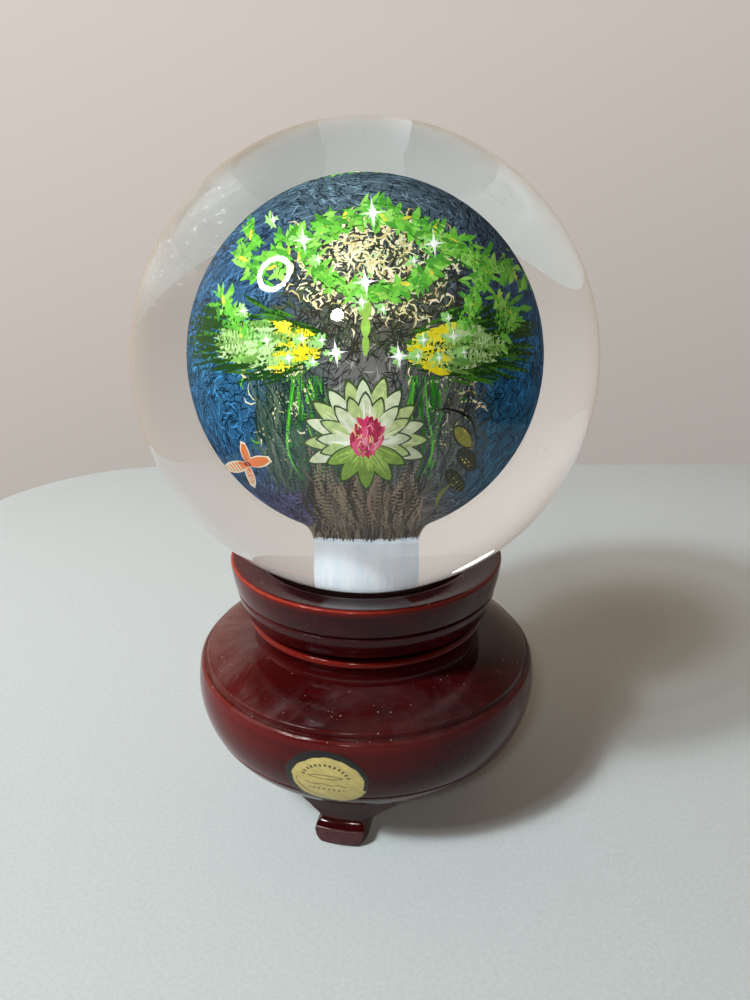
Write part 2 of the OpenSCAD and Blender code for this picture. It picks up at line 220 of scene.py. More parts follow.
class Look:
    """A material, or the world, with short helpers for its nodes."""

    def __init__(self, name, kind="materials", out="OutputMaterial", coords="Object"):
        self.owner = getattr(bpy.data, kind).new(name)
        self.owner.use_nodes = True
        self.tree = self.owner.node_tree
        self.tree.nodes.clear()
        self.out = self.tree.nodes.new("ShaderNode" + out)
        self.coords = self.tree.nodes.new("ShaderNodeTexCoord").outputs[coords]

    def set(self, socket, value):
        if isinstance(value, bpy.types.NodeSocket):
            self.tree.links.new(value, socket)
        elif value is not None:
            if hasattr(socket.default_value, "__len__"):
                value = tuple(value) + (1,) * (len(socket.default_value) - len(value))
            socket.default_value = value

    def node(self, kind, out=0, props=None, **inputs):
        n = self.tree.nodes.new("ShaderNode" + kind)
        for key, value in (props or {}).items():
            setattr(n, key, value)
        for key, value in inputs.items():
            self.set(n.inputs[key.replace("_", " ")], value)
        return n.outputs[out]

    def math(self, op, a, b=None):
        n = self.tree.nodes.new("ShaderNodeMath")
        n.operation = op
        for socket, value in zip(n.inputs, (a, b)):
            self.set(socket, value)
        return n.outputs[0]

    def vec(self, op, a, b=None, out=0, scale=None):
        n = self.tree.nodes.new("ShaderNodeVectorMath")
        n.operation = op
        self.set(n.inputs[0], a)
        self.set(n.inputs[1], b)
        if scale is not None:
            self.set(n.inputs["Scale"], scale)
        return n.outputs[out]

    def noise(self, scale, detail=4.0, rough=0.55, distort=0.0, stretch=None, out=0):
        v = self.vec("MULTIPLY", self.coords, stretch) if stretch else self.coords
        return self.node("TexNoise", out, Vector=v, Scale=scale, Detail=detail,
                         Roughness=rough, Distortion=distort)

    def step(self, value, low, high, a=0.0, b=1.0):
        return self.node("MapRange", props={"interpolation_type": "SMOOTHSTEP"}, Value=value,
                         From_Min=low, From_Max=high, To_Min=a, To_Max=b)

    def ramp(self, value, low, high, a, b):
        return self.node("MapRange", Value=value, From_Min=low, From_Max=high, To_Min=a, To_Max=b)

    def xyz(self, vector):
        n = self.tree.nodes.new("ShaderNodeSeparateXYZ")
        self.set(n.inputs[0], vector)
        return n.outputs

    def join(self, factor, a, b):
        """A mix of two shaders."""
        n = self.tree.nodes.new("ShaderNodeMixShader")
        for socket, value in zip(n.inputs, (factor, a, b)):
            self.set(socket, value)
        return n.outputs[0]

    def rays(self, *kinds):
        """1 for these kinds of ray, else 0."""
        path = self.tree.nodes.new("ShaderNodeLightPath")
        return self.math("MAXIMUM", *(path.outputs[f"Is {kind} Ray"] for kind in kinds))

    def mix(self, factor, a, b):
        n = self.tree.nodes.new("ShaderNodeMix")
        n.data_type = "RGBA"
        self.set(n.inputs[0], factor)
        self.set(n.inputs[6], a)
        self.set(n.inputs[7], b)
        return n.outputs[2]

    def bump(self, height, distance, strength=1.0, normal=None):
        return self.node("Bump", Height=height, Distance=distance, Strength=strength, Normal=normal)

    def radius_height(self):
        """Distance from the vertical axis and height: as one vector, and each alone."""
        height = self.xyz(self.coords)[2]
        radius = self.vec("LENGTH", self.vec("MULTIPLY", self.coords, (1, 1, 0)), out=1)
        return self.node("CombineXYZ", X=radius, Z=height), radius, height

    def principled(self, **inputs):
        n = self.tree.nodes.new("ShaderNodeBsdfPrincipled")
        for key, value in inputs.items():
            self.set(n.inputs[key.replace("_", " ")], value)
        return n.outputs[0]

    def finish(self, shader):
        self.tree.links.new(shader, self.out.inputs["Surface"])
        return self.owner


def wear(obj, material):
    """Gives an object one material."""
    obj.data.materials.clear()
    obj.data.materials.append(material)
    return obj


def rubbed(k, colour, place, spots, tone, share, ragged=None):
    """The colour turned to tone near circles of (radius, height), each with a reach and a strength."""
    for r, z, reach, strength in spots:
        near = k.vec("DISTANCE", place, (r * MM, 0, z * MM), out=1)
        if ragged:
            near = k.math("ADD", near, k.math("MULTIPLY", ragged, reach * MM * 1.2))
        solid = (0.25 if ragged else 0.15) * reach * MM
        part = k.math("MULTIPLY", k.step(near, reach * MM, solid, 0.0, strength), share)
        colour = k.mix(part, colour, tone)
    return colour


def specks(k, density):
    """Grains of dust: 1 inside one, for a share of the cells of a fine pattern."""
    cells = k.tree.nodes.new("ShaderNodeTexVoronoi")
    shift = k.vec("SCALE", k.noise(900, out=1), scale=0.0006)
    k.set(cells.inputs["Vector"], k.vec("ADD", k.coords, shift))
    cells.inputs["Scale"].default_value = 900
    pick = k.node("SeparateColor", Color=cells.outputs["Color"])
    grain = k.math("LESS_THAN", cells.outputs["Distance"], 0.17)
    return k.math("MULTIPLY", grain, k.math("GREATER_THAN", pick, 1 - density))


def lacquer(name, edges=(), thin_and_lit_rings=(), dust=0.0, haze_and_sheen=0.0, matte_toe=False, shine=0.2):
    """Deep maroon lacquer on turned wood: rubbed orange-red at edges, brighter rings for thin lacquer and
    painted highlights, and redder towards −X as painted light.
    """
    k = Look(name)
    place, radius, height = k.radius_height()
    x = k.xyz(k.coords)[0]
    up = k.step(k.xyz(k.node("NewGeometry", 1))[2], 0.15, 0.6)
    # 1 towards −X, 0.25 towards +X: the edges there are more worn, and the lamp's light is painted in on that
    # side
    worn_and_lit_side = k.step(x, 30 * MM, -42 * MM, 0.25, 1.0)
    grain = k.noise(120, 5, 0.6, 0.4, stretch=(0.5, 6, 6))
    cloud = k.noise(38, 3, 0.5)
    broken = k.noise(420, 4, 0.6)

    colour = k.mix(k.step(grain, 0.35, 0.72), lin(40, 6, 7), lin(56, 8, 9))
    colour = k.mix(k.step(cloud, 0.35, 0.7, 0.0, 0.4), colour, lin(74, 11, 11))
    # Painted light: the lacquer is redder towards −X, the side the lamp lights
    colour = k.mix(k.step(x, -12 * MM, -52 * MM, 0.0, 0.45), colour, lin(112, 16, 14))
    # Brighter red rings stand for thinner lacquer and a painted highlight, stronger towards −X
    thin = k.math("MULTIPLY", k.step(worn_and_lit_side, 0.0, 1.0, 0.45, 1.0), k.step(broken, 0.15, 0.6, 0.75, 1.0))
    colour = rubbed(k, colour, place, thin_and_lit_rings, lin(120, 15, 12), thin)
    ragged = k.math("SUBTRACT", broken, 0.5)
    # Rubbed edges are real wear, made stronger towards −X as painted light
    colour = rubbed(k, colour, place, edges, lin(180, 58, 32), worn_and_lit_side, ragged)

    rough = k.step(k.noise(90, 5, 0.65), 0.3, 0.75, 0.07, 0.2)
    if haze_and_sheen:
        # A pale haze on upward faces, made nearly four times as strong towards −X as a painted sheen where
        # the lamp falls
        film = k.math("MULTIPLY", up, k.step(k.noise(26, 6, 0.7, 0.6), 0.4, 0.75, 0.0, haze_and_sheen))
        film = k.math("MULTIPLY", film, k.step(worn_and_lit_side, 0.25, 1.0, 0.5, 1.9))
        colour = k.mix(film, colour, lin(140, 124, 122))
        rough = k.math("ADD", rough, k.math("MULTIPLY", film, 0.5))
    if dust:
        settled = k.math("MULTIPLY", up, k.step(cloud, 0.42, 0.6, 0.1, 0.6))
        colour = k.mix(k.math("MULTIPLY", specks(k, dust), settled), colour, lin(196, 182, 180))
    if matte_toe:
        toe = k.math("MULTIPLY", k.step(height, 5.4 * MM, 4.7 * MM), k.step(radius, 38.6 * MM, 39.6 * MM))
        blotch = k.step(k.noise(500, 5, 0.7), 0.35, 0.7)
        colour = k.mix(toe, colour, k.mix(blotch, lin(76, 36, 36), lin(54, 24, 26)))
        rough = k.math("ADD", rough, k.math("MULTIPLY", toe, 0.45))
    normal = k.bump(k.noise(520, 2, 0.5), 0.00002, 0.35, k.bump(grain, 0.00003, 0.25))
    return k.finish(k.principled(Base_Color=colour, Roughness=rough, Specular_IOR_Level=shine, Normal=normal))


def painted():
    """Matt paint seen through the glass that it sticks to, with a faint painted glow."""
    k = Look("inside_paint")
    colour = k.node("Attribute", props={"attribute_name": "paint"})
    mottle = k.step(k.noise(700, 4, 0.65), 0.25, 0.75, 1.3, 1.7)
    colour = k.vec("SCALE", colour, scale=mottle)
    # The faint emission is painted light, standing for light the glass gathers onto the paint
    shader = k.principled(Base_Color=colour, Roughness=1.0, Specular_IOR_Level=0.0,
                          Emission_Color=colour, Emission_Strength=0.1)
    return k.finish(shader)


GLASS_IOR = 1.5
# Rubbed patches on the outside of the ball: middle, reach and strength
SCUFFS = (((-40.0, -30.0, 171.5), 25.0, 0.4), ((30.0, -32.8, 180.0), 9.0, 0.2))


def crystal():
    """Clear glass that lets lamps reach the paint behind it, with fine scratches and rubbed patches."""
    k = Look("crystal")
    lines = k.noise(60, 6, 0.7, 3.0, stretch=(1.0, 1.0, 0.25))
    scratch = k.step(k.math("ABSOLUTE", k.math("SUBTRACT", lines, 0.5)), 0.0016, 0.0004)
    where = k.step(k.noise(34, 3, 0.6), 0.56, 0.66)
    mark = k.math("MULTIPLY", k.math("MULTIPLY", scratch, where), 0.35)
    turned = k.node("Mapping", Vector=k.coords, Rotation=(0, math.radians(50), 0), Scale=(0.22, 1.0, 1.6))
    streak = k.step(k.node("TexNoise", Vector=turned, Scale=420, Detail=5.0, Roughness=0.7), 0.56, 0.7)
    veil = k.step(k.noise(70, 4, 0.6), 0.4, 0.75, 0.03, 0.2)
    for middle, reach, strength in SCUFFS:
        away = k.vec("DISTANCE", k.coords, tuple(c * MM for c in middle), out=1)
        scuff = k.math("ADD", k.math("MULTIPLY", streak, strength), veil)
        near = k.step(away, reach * MM, 0.3 * reach * MM)
        mark = k.math("MAXIMUM", mark, k.math("MULTIPLY", scuff, near))
    clear = k.principled(Base_Color=(0.975, 0.985, 0.978), Roughness=0.0, IOR=GLASS_IOR,
                         Transmission_Weight=1.0)
    chalk = k.principled(Base_Color=lin(225, 228, 228), Roughness=0.6)
    rim = k.node("LayerWeight", 1, Blend=0.35)
    shade = k.node("BsdfTransparent", Color=k.mix(rim, (0.74, 0.73, 0.71), (0.3, 0.29, 0.28)))
    return k.finish(k.join(k.rays("Shadow", "Diffuse"), k.join(mark, clear, chalk), shade))


def frosted():
    """Ground, unpolished glass on the wall of the neck bore and the flat, with a painted glow."""
    k = Look("frosted_glass")
    streak = k.noise(150, 5, 0.65, 0.3, stretch=(5, 5, 0.5))
    cloud = k.noise(120, 4, 0.6)
    colour = k.mix(k.step(streak, 0.35, 0.7), lin(226, 238, 248), lin(244, 250, 255))
    colour = k.mix(k.step(cloud, 0.55, 0.8, 0.0, 0.4), colour, lin(214, 222, 230))
    # The emission is painted light: the frosted bore glows to stand for light the glass ball gathers into it
    body = k.principled(Base_Color=colour, Roughness=0.75, Specular_IOR_Level=0.2,
                        Emission_Color=colour, Emission_Strength=0.38)
    return k.finish(k.join(0.1, body, k.node("BsdfTranslucent", Color=colour)))


def felt():
    k = Look("felt")
    fuzz = k.noise(2600, 4, 0.7)
    colour = k.mix(k.step(fuzz, 0.3, 0.7), lin(20, 9, 10), lin(46, 22, 22))
    normal = k.bump(fuzz, 0.0002, 0.8)
    return k.finish(k.principled(Base_Color=colour, Roughness=0.95, Specular_IOR_Level=0.2, Normal=normal))


def metal(name, dark, light, rough):
    """Turned or rolled metal with fine rings and finger marks."""
    k = Look(name)
    ring = k.node("TexWave", 1, props={"bands_direction": "Z"}, Vector=k.coords, Scale=900, Distortion=2.0)
    stain = k.noise(300, 4, 0.6)
    colour = k.mix(k.step(stain, 0.3, 0.7), dark, light)
    shine = k.math("ADD", k.step(stain, 0.3, 0.8, rough, rough + 0.18), k.math("MULTIPLY", ring, 0.05))
    normal = k.bump(ring, 0.000006, 0.5)
    return k.finish(k.principled(Base_Color=colour, Metallic=1.0, Roughness=shine, Normal=normal))


def dowel_wood():
    k = Look("dowel_wood")
    grain = k.noise(500, 5, 0.65, 0.5, stretch=(3, 3, 0.3))
    colour = k.mix(k.step(grain, 0.35, 0.7), lin(168, 126, 82), lin(212, 176, 128))
    return k.finish(k.principled(Base_Color=colour, Roughness=0.6, Normal=k.bump(grain, 0.00005, 0.4)))


def label_paper():
    """Gold-coloured label paper; its print is in the vertex colours."""
    k = Look("label_paper")
    colour = k.node("Attribute", props={"attribute_name": "paint"})
    fibre = k.noise(1500, 4, 0.6)
    colour = k.vec("SCALE", colour, scale=k.step(fibre, 0.3, 0.7, 0.9, 1.08))
    shader = k.principled(Base_Color=colour, Roughness=k.step(fibre, 0.3, 0.7, 0.34, 0.5),
                          Normal=k.bump(fibre, 0.00003, 0.4))
    return k.finish(shader)


# ---------------------------------------------------------------- glass ball

def cavity_profile(offset=0.0, end=PAINT_END, n=60):
    """Wall of the cavity from its top down to a level, moved outwards into the glass by offset."""
    seam = math.degrees(math.atan2(ROUND_C[1], ROUND_C[0]))
    stop = 180 - math.degrees(math.asin((end - ROUND_C[1]) / NECK_ROUND)) if end > ROUND_C[1] else 180
    return (arc((0, 0), CAVITY_R + offset, 90, seam, n)
            + arc(ROUND_C, NECK_ROUND - offset, seam + 180, stop, 14)[1:])


def lifted(profile, by):
    return [(r, z + by) for r, z in profile]


def glass_ball():
    flat_a = math.degrees(math.asin(FLAT_Z / BALL_R))
    outer = lifted(arc((0, 0), BALL_R, 90, flat_a, 160), BALL_Z)
    inner = lifted(cavity_profile(end=ROUND_C[1] - 1, n=90)[::-1], CAVITY_Z)
    profile = outer + [(BORE_R, BALL_LOW)] + inner
    profile = rounded(profile, 0.12, closed=False, turn=2.5, longest=1.2)
    wear(revolve("glass_shell", profile, "ball", "glass_ball", 288, closed=False), crystal())
    sleeve_top = PAINT_END + 0.3
    wall = [p for p in cavity_profile(SKIN, ROUND_C[1] - 1) if p[1] < sleeve_top]
    foot = BALL_LOW - CAVITY_Z
    outside = wall + [(BORE_R + SKIN, foot + SKIN), (FLAT_R - 0.3, foot + SKIN)]
    inside = [(FLAT_R - 0.3, foot), (BORE_R, foot), (BORE_R, ROUND_C[1]), (wall[0][0] - SKIN, sleeve_top)]
    profile = np.array(lifted(outside + inside, CAVITY_Z))
    wear(revolve("neck_frost", profile, "ball", "glass_ball", 192), frosted())


# ---------------------------------------------------------------- painting on the inside

# The pictures face up by TILT, towards an eye at this distance from the centre of the ball
TILT = math.radians(10.7)
EYE_DISTANCE = 218.0


def seen_angles(rho):
    """Angle on the cavity wall from the middle of a picture, for a point of the picture's disc."""
    s = GLASS_IOR * CAVITY_R / BALL_R
    rho = np.clip(rho, 0, 1)
    return (np.arcsin(rho) + np.arcsin(rho * s) - np.arcsin(rho * s / GLASS_IOR)
            - np.arcsin(rho * GLASS_IOR * CAVITY_R / EYE_DISTANCE))


RHO = np.linspace(0, 1, 400)
ANGLE = seen_angles(RHO)
WALL = np.array(cavity_profile(0.0, ROUND_C[1] - 1, 180) + [(BORE_R, BALL_LOW - CAVITY_Z)])
WALL_S = np.r_[0, np.cumsum(np.hypot(*np.diff(WALL, axis=0).T))]
END_S = np.interp(-PAINT_END, -WALL[:, 1], WALL_S)
WALL_N = np.gradient(WALL, WALL_S, axis=0)
WALL_N = np.stack([-WALL_N[:, 1], WALL_N[:, 0]], 1)
WALL_N /= np.linalg.norm(WALL_N, axis=1)[:, None]


class Panel:
    """A picture on the cavity wall, drawn in a disc from -1 to 1 across and up."""

    def __init__(self, turn):
        c, s = math.cos(turn), math.sin(turn)
        self.axis = np.array([s * math.cos(TILT), -c * math.cos(TILT), math.sin(TILT)])
        self.right = np.array([c, s, 0.0])
        self.up = np.cross(self.right, -self.axis)

    def dirs(self, xy):
        xy = np.atleast_2d(np.asarray(xy, float))
        rho = np.linalg.norm(xy, axis=1)
        phi = np.where(rho <= 1, np.interp(rho, RHO, ANGLE), ANGLE[-1] + (rho - 1) * 1.2)
        unit = xy / np.maximum(rho, 1e-9)[:, None]
        side = unit[:, :1] * self.right + unit[:, 1:] * self.up
        return np.cos(phi)[:, None] * self.axis + np.sin(phi)[:, None] * side

    def disc(self, dirs):
        cos = np.clip(dirs @ self.axis, -1, 1)
        phi = np.arccos(cos)
        rho = np.where(phi < ANGLE[-1], np.interp(phi, ANGLE, RHO), 1 + (phi - ANGLE[-1]) / 1.2)
        flat = np.stack([dirs @ self.right, dirs @ self.up], 1)
        flat /= np.maximum(np.linalg.norm(flat, axis=1), 1e-9)[:, None]
        return flat * rho[:, None]


def on_wall(dirs, lift):
    """Points on the cavity wall in these directions, lifted into the glass."""
    polar = np.arccos(np.clip(dirs[:, 2], -1, 1))
    s = polar * CAVITY_R
    r = np.interp(s, WALL_S, WALL[:, 0]) + np.interp(s, WALL_S, WALL_N[:, 0]) * lift
    z = np.interp(s, WALL_S, WALL[:, 1]) + np.interp(s, WALL_S, WALL_N[:, 1]) * lift
    flat = dirs[:, :2] / np.maximum(np.linalg.norm(dirs[:, :2], axis=1), 1e-9)[:, None]
    return np.stack([flat[:, 0] * r, flat[:, 1] * r, z + CAVITY_Z], 1)


def spline(points, spacing):
    """A smooth curve through the points, sampled about every spacing."""
    p = np.atleast_2d(np.asarray(points, float))
    if len(p) == 2:
        p = np.array([p[0], p.mean(0), p[1]])
    p = np.vstack([2 * p[0] - p[1], p, 2 * p[-1] - p[-2]])
    out = []
    for a, b, c, d in zip(p, p[1:], p[2:], p[3:]):
        n = max(2, int(np.linalg.norm(c - b) / spacing) + 1)
        t = np.linspace(0, 1, n, endpoint=False)[:, None]
        out.append(0.5 * (2 * b + (c - a) * t + (2 * a - 5 * b + 4 * c - d) * t ** 2
                          + (3 * b - 3 * c + d - a) * t ** 3))
    out.append(p[-2:-1])
    return np.vstack(out)


class Brush:
    """Collects brush strokes on the cavity wall. Each is a thin closed solid."""

    def __init__(self, layer):
        self.layer = layer
        self.verts, self.faces, self.colours = [], [], []
        self.count = self.total = 0

    def along(self, dirs, width, colour, tip=(0.15, 0.1), shape=1.0, shade=0.1, raised=0.0):
        below = np.arccos(np.clip(dirs[:, 2], -1, 1)) * CAVITY_R > END_S + rng.uniform(0.1, 0.8)
        if below.any():
            dirs = dirs[:below.argmax()]
        if len(dirs) < 3:
            return
        n = len(dirs)
        t = np.linspace(0, 1, n)
        swell = np.sin(np.pi * np.clip(t, 0, 1)) ** shape
        swell = np.maximum(swell, np.interp(t, [0, 1], tip))
        along = np.gradient(dirs, axis=0)
        side = np.cross(dirs, along)
        side /= np.maximum(np.linalg.norm(side, axis=1), 1e-9)[:, None]
        columns = 2 + int(width / 0.6)
        self.count += 1
        lift = self.layer + raised + 0.01 * ((self.count * 0.618034) % 1)
        rows = []
        for j in range(columns):
            off = (j / (columns - 1) - 0.5) * width / CAVITY_R
            d = dirs + side * (swell * off)[:, None]
            d /= np.linalg.norm(d, axis=1)[:, None]
            rows.append(on_wall(d, lift))
        rows.append(on_wall(dirs, -0.1))
        points = np.stack(rows, 1)
        ring = columns + 1
        start = self.total
        self.verts.append(points.reshape(-1, 3))
        tone = 1 + shade * rng.uniform(-1, 1, n)
        base = np.asarray(colour)[None, :] * tone[:, None]
        self.colours.append(np.repeat(base, ring, axis=0))
        for i in range(n - 1):
            a, b = start + i * ring, start + (i + 1) * ring
            for j in range(ring):
                k = (j + 1) % ring
                self.faces.append((a + j, a + k, b + k, b + j))
        self.faces.append(tuple(range(start, start + ring))[::-1])
        last = start + (n - 1) * ring
        self.faces.append(tuple(range(last, last + ring)))
        self.total += n * ring

    def stroke(self, panel, points, width, colour, spacing=0.018, **more):
        self.along(panel.dirs(spline(points, spacing)), width, colour, **more)

    def dab(self, panel, x, y, angle, length, width, colour, bend=0.0, **more):
        """A short stroke from (x, y), starting towards angle in degrees and bending on its way."""
        a = math.radians(angle)
        steps = max(3, int(length / (0.016 if width > 1.2 else 0.03)))
        turns = a + math.radians(bend) * np.linspace(-0.5, 0.5, steps)
        way = np.stack([np.cos(turns), np.sin(turns)], 1) * (length / steps)
        points = np.vstack([[0, 0], np.cumsum(way, axis=0)]) + (x, y)
        self.along(panel.dirs(points), width, colour, **more)

    def piece(self, name, material):
        obj = make(name, np.vstack(self.verts), self.faces, "ball", "inner_painting", False)
        paint_points(obj, np.vstack(self.colours))
        return wear(obj, material)


FRONT, BACK = Panel(0.0), Panel(math.pi)

# Patches of ground colour: middle, reach across and up, colour
FRONT_ZONES = [
    (-0.15, 1.0, 0.6, 0.22, (104, 128, 136)), (0.45, 0.85, 0.35, 0.2, (78, 92, 100)),
    (-0.75, 0.5, 0.3, 0.35, (40, 88, 128)), (-0.9, -0.1, 0.25, 0.45, (44, 100, 138)),
    (-0.75, -0.5, 0.28, 0.3, (38, 90, 134)), (-0.45, -0.85, 0.28, 0.2, (76, 70, 122)),
    (0.92, 0.1, 0.22, 0.55, (26, 92, 138)), (0.72, 0.55, 0.25, 0.25, (48, 66, 92)),
    (0.72, -0.5, 0.3, 0.3, (36, 84, 112)), (0.05, 0.42, 0.5, 0.3, (92, 92, 78)),
    (0.0, -0.3, 0.35, 0.35, (112, 112, 112)), (0.02, -0.9, 0.34, 0.28, (112, 100, 88)),
    (-0.45, -0.25, 0.18, 0.35, (48, 70, 72)), (0.45, -0.25, 0.18, 0.35, (86, 90, 92)),
]
BACK_ZONES = [
    (0.0, 0.8, 0.9, 0.4, (52, 76, 100)), (-0.6, 0.0, 0.4, 0.6, (34, 84, 124)),
    (0.6, 0.0, 0.4, 0.6, (38, 80, 116)), (0.0, -0.1, 0.45, 0.4, (60, 84, 86)),
    (0.0, -0.85, 0.4, 0.3, (98, 90, 100)),
]


def ground_colour(dirs):
    """Linear colour of the painted ground in these directions."""
    total, weight = np.zeros((len(dirs), 3)), np.full(len(dirs), 1e-6)
    for panel, zones in ((FRONT, FRONT_ZONES), (BACK, BACK_ZONES)):
        xy = panel.disc(dirs)
        for x, y, a, b, colour in zones:
            w = np.exp(-((xy[:, 0] - x) / a) ** 2 - ((xy[:, 1] - y) / b) ** 2)
            total += w[:, None] * np.array(lin(*colour))
            weight += w
    return total / weight[:, None]


def paint_ground(material):
    film = cavity_profile(SKIN, PAINT_END, 120)
    back = cavity_profile(-FILM_T, PAINT_END, 60)[::-1]
    profile = np.array(lifted(film + back, CAVITY_Z))
    profile[0, 0] = profile[-1, 0] = 0
    obj = revolve("paint_ground", profile, "ball", "inner_painting", 256, closed=False)
    co = np.array([v.co for v in obj.data.vertices]) / MM - (0, 0, CAVITY_Z)
    paint_points(obj, ground_colour(co / np.linalg.norm(co, axis=1)[:, None]))
    wear(obj, material)


def jitter(colour, amount=0.12):
    """A linear colour near a 0-255 colour."""
    c = np.array(lin(*colour))
    return c * (1 + rng.uniform(-amount, amount)) * (1 + rng.uniform(-amount, amount, 3) * 0.5)


def pick(colours, amount=0.12):
    """One of the colours, jittered."""
    return jitter(colours[rng.integers(len(colours))], amount)


def hatching():
    """Short dark and light strokes all over the ground."""
    brush = Brush(0.04)
    count = 6200
    z = rng.uniform(-0.9, 1, count)
    turn = rng.uniform(0, 2 * math.pi, count)
    flat = np.sqrt(1 - z * z)
    centres = np.stack([flat * np.cos(turn), flat * np.sin(turn), z], 1)
    base = ground_colour(centres)
    for i, c in enumerate(centres):
        helper = np.array([0, 0, 1.0]) if abs(c[2]) < 0.9 else np.array([1.0, 0, 0])
        u = np.cross(helper, c)
        u /= np.linalg.norm(u)
        v = np.cross(c, u)
        a = rng.uniform(0, 2 * math.pi) if i % 3 else math.pi / 4 + 0.5 * math.sin(9 * c[0] + 7 * c[2])
        t = np.linspace(-0.5, 0.5, 5)[:, None] * rng.uniform(0.05, 0.13)
        curve = rng.uniform(-9, 9)
        d = c + t * (math.cos(a) * u + math.sin(a) * v) + curve * t * t * (math.cos(a) * v - math.sin(a) * u)
        d /= np.linalg.norm(d, axis=1)[:, None]
        light = rng.random()
        tone = base[i] * (0.2 if light < 0.6 else 2.3 if light > 0.8 else 0.55)
        brush.along(d, rng.uniform(0.16, 0.4), tone)
    return brush


def ellipse_points(count, x, y, a, b, lean=0.0):
    """Random points inside a leaning ellipse."""
    r = np.sqrt(rng.random(count))
    t = rng.uniform(0, 2 * math.pi, count)
    px, py = r * np.cos(t) * a, r * np.sin(t) * b
    c, s = math.cos(math.radians(lean)), math.sin(math.radians(lean))
    return np.stack([x + px * c - py * s, y + px * s + py * c], 1)


def feather_leaf(brush, panel, side, x, y, length, half, scale=1.0):
    """A broad feathered leaf: dark hair-like strokes outside, lime inside, yellow at its root."""
    out = 0 if side > 0 else 180
    limes = [(124, 172, 84), (152, 194, 118), (104, 150, 72), (178, 208, 150)]
    yellows = [(226, 212, 40), (204, 200, 44), (238, 224, 70)]
    for i in range(int(260 * scale)):
        t = rng.random() ** 0.8
        px = x + side * length * t
        spread = half * (0.45 + 0.75 * math.sin(math.pi * min(1, t * 1.05)) + 0.2 * t)
        py = y + rng.uniform(-1, 1) * spread + 0.05 * t
        angle = out + side * rng.uniform(-16, 16) + (py - y) * 80 * side
        dark = (30, 66, 26) if rng.random() < 0.6 + 0.3 * t else (64, 118, 36)
        brush.dab(panel, px, py, angle, rng.uniform(0.10, 0.2), rng.uniform(0.4, 0.8), jitter(dark),
                  rng.uniform(-25, 25))
    for i in range(int(300 * scale)):
        t = rng.random()
        px = x + side * length * (0.05 + 0.68 * t)
        py = y + 0.03 * t + rng.uniform(-1, 1) * half * (0.35 + 0.5 * math.sin(math.pi * t))
        colour = limes[rng.integers(4)]
        if t < 0.45 and rng.random() < 0.75:
            colour = yellows[rng.integers(3)]
        brush.dab(panel, px, py, out + rng.uniform(-18, 18), rng.uniform(0.07, 0.13), rng.uniform(0.7, 1.5),
                  jitter(colour, 0.08))
    for i in range(int(46 * scale)):
        px, py = x + side * length * rng.random(), y + rng.uniform(-1, 1) * half
        brush.dab(panel, px, py, out + rng.uniform(-20, 20), 0.12, 0.22, jitter((28, 70, 22)))


def leafy_band(brush, panel, path, width):
    """A ragged green band with lobes, dark edges and yellow lights."""
    greens = [(96, 176, 60), (118, 192, 74), (74, 150, 52), (142, 204, 92)]
    for i, (x, y) in enumerate(spline(path, 0.03)):
        for _ in range(5):
            green = greens[rng.integers(4)]
            brush.dab(panel, x + rng.normal(0, width * 0.32), y + rng.normal(0, width * 0.32),
                      rng.uniform(0, 360), rng.uniform(0.04, 0.1), rng.uniform(0.7, 1.5), jitter(green, 0.1))
        if i % 4 == 0:
            lobe = rng.choice([-1, 1])
            brush.dab(panel, x, y, 90 * lobe + rng.uniform(-35, 35), width * 1.25, 1.9,
                      jitter((104, 182, 62)), 30 * lobe)
        if i % 6 == 0:
            yellow = jitter((214, 208, 72))
            brush.dab(panel, x + rng.normal(0, width * 0.2), y + rng.normal(0, width * 0.2),
                      rng.uniform(0, 360), 0.06, 1.0, yellow)


def band_edges(brush, panel, path, width):
    line = spline(path, 0.03)
    way = np.gradient(line, axis=0)
    side = np.stack([-way[:, 1], way[:, 0]], 1)
    side /= np.linalg.norm(side, axis=1)[:, None]
    for s in (-1, 1):
        edge = line + side * s * width * 0.62 + rng.normal(0, 0.006, line.shape)
        for i in range(0, len(edge) - 6, 5):
            brush.along(panel.dirs(edge[i:i + 7]), rng.uniform(0.25, 0.5), jitter((34, 84, 30)),
                        tip=(0.4, 0.4))


def curls(brush, panel, count, x, y, a, b, colours, big=1.0):
    """Crescent curls scattered over an ellipse."""
    for px, py in ellipse_points(count, x, y, a, b):
        angle = rng.uniform(0, 360)
        brush.dab(panel, px, py, angle, rng.uniform(0.07, 0.15) * big, rng.uniform(0.3, 0.65) * big,
                  pick(colours, 0.1), rng.choice([-1, 1]) * rng.uniform(60, 150))


def strands(brush, panel, count, top, bottom, spread_top, spread_bottom, colours, width=0.5, wave=0.03):
    """Long wavy strands that run down and draw together."""
    for _ in range(count):
        u = rng.uniform(-1, 1)
        v = u + rng.normal(0, 0.12)
        (x0, y0), (x1, y1) = top, bottom
        xs = np.linspace(x0 + u * spread_top, x1 + v * spread_bottom, 5) + rng.normal(0, wave, 5)
        start = rng.uniform(0, 0.35)
        ys = np.linspace(y0 + (y1 - y0) * start, y1, 5)
        colour = pick(colours, 0.15)
        brush.stroke(panel, np.stack([xs, ys], 1), rng.uniform(0.5, 1.3) * width, colour, 0.024)


def petal(brush, panel, x, y, angle, length, width, colours, raised):
    """A petal: outline, body and lights, each above the last."""
    dark, body, light = colours
    form = {"tip": (0.5, 0.05), "shape": 0.6}
    brush.dab(panel, x, y, angle, length * 1.06, width + 0.5, jitter(dark, 0.05), raised=raised, **form)
    brush.dab(panel, x, y, angle, length, width, jitter(body, 0.05), raised=raised + 0.011, **form)
    for _ in range(6):
        off = rng.uniform(-0.3, 0.3) * width / 33
        a = math.radians(angle + 90)
        brush.dab(panel, x + math.cos(a) * off, y + math.sin(a) * off, angle + rng.uniform(-4, 4),
                  length * rng.uniform(0.4, 0.9), width * 0.14, jitter(light, 0.06), raised=raised + 0.022)


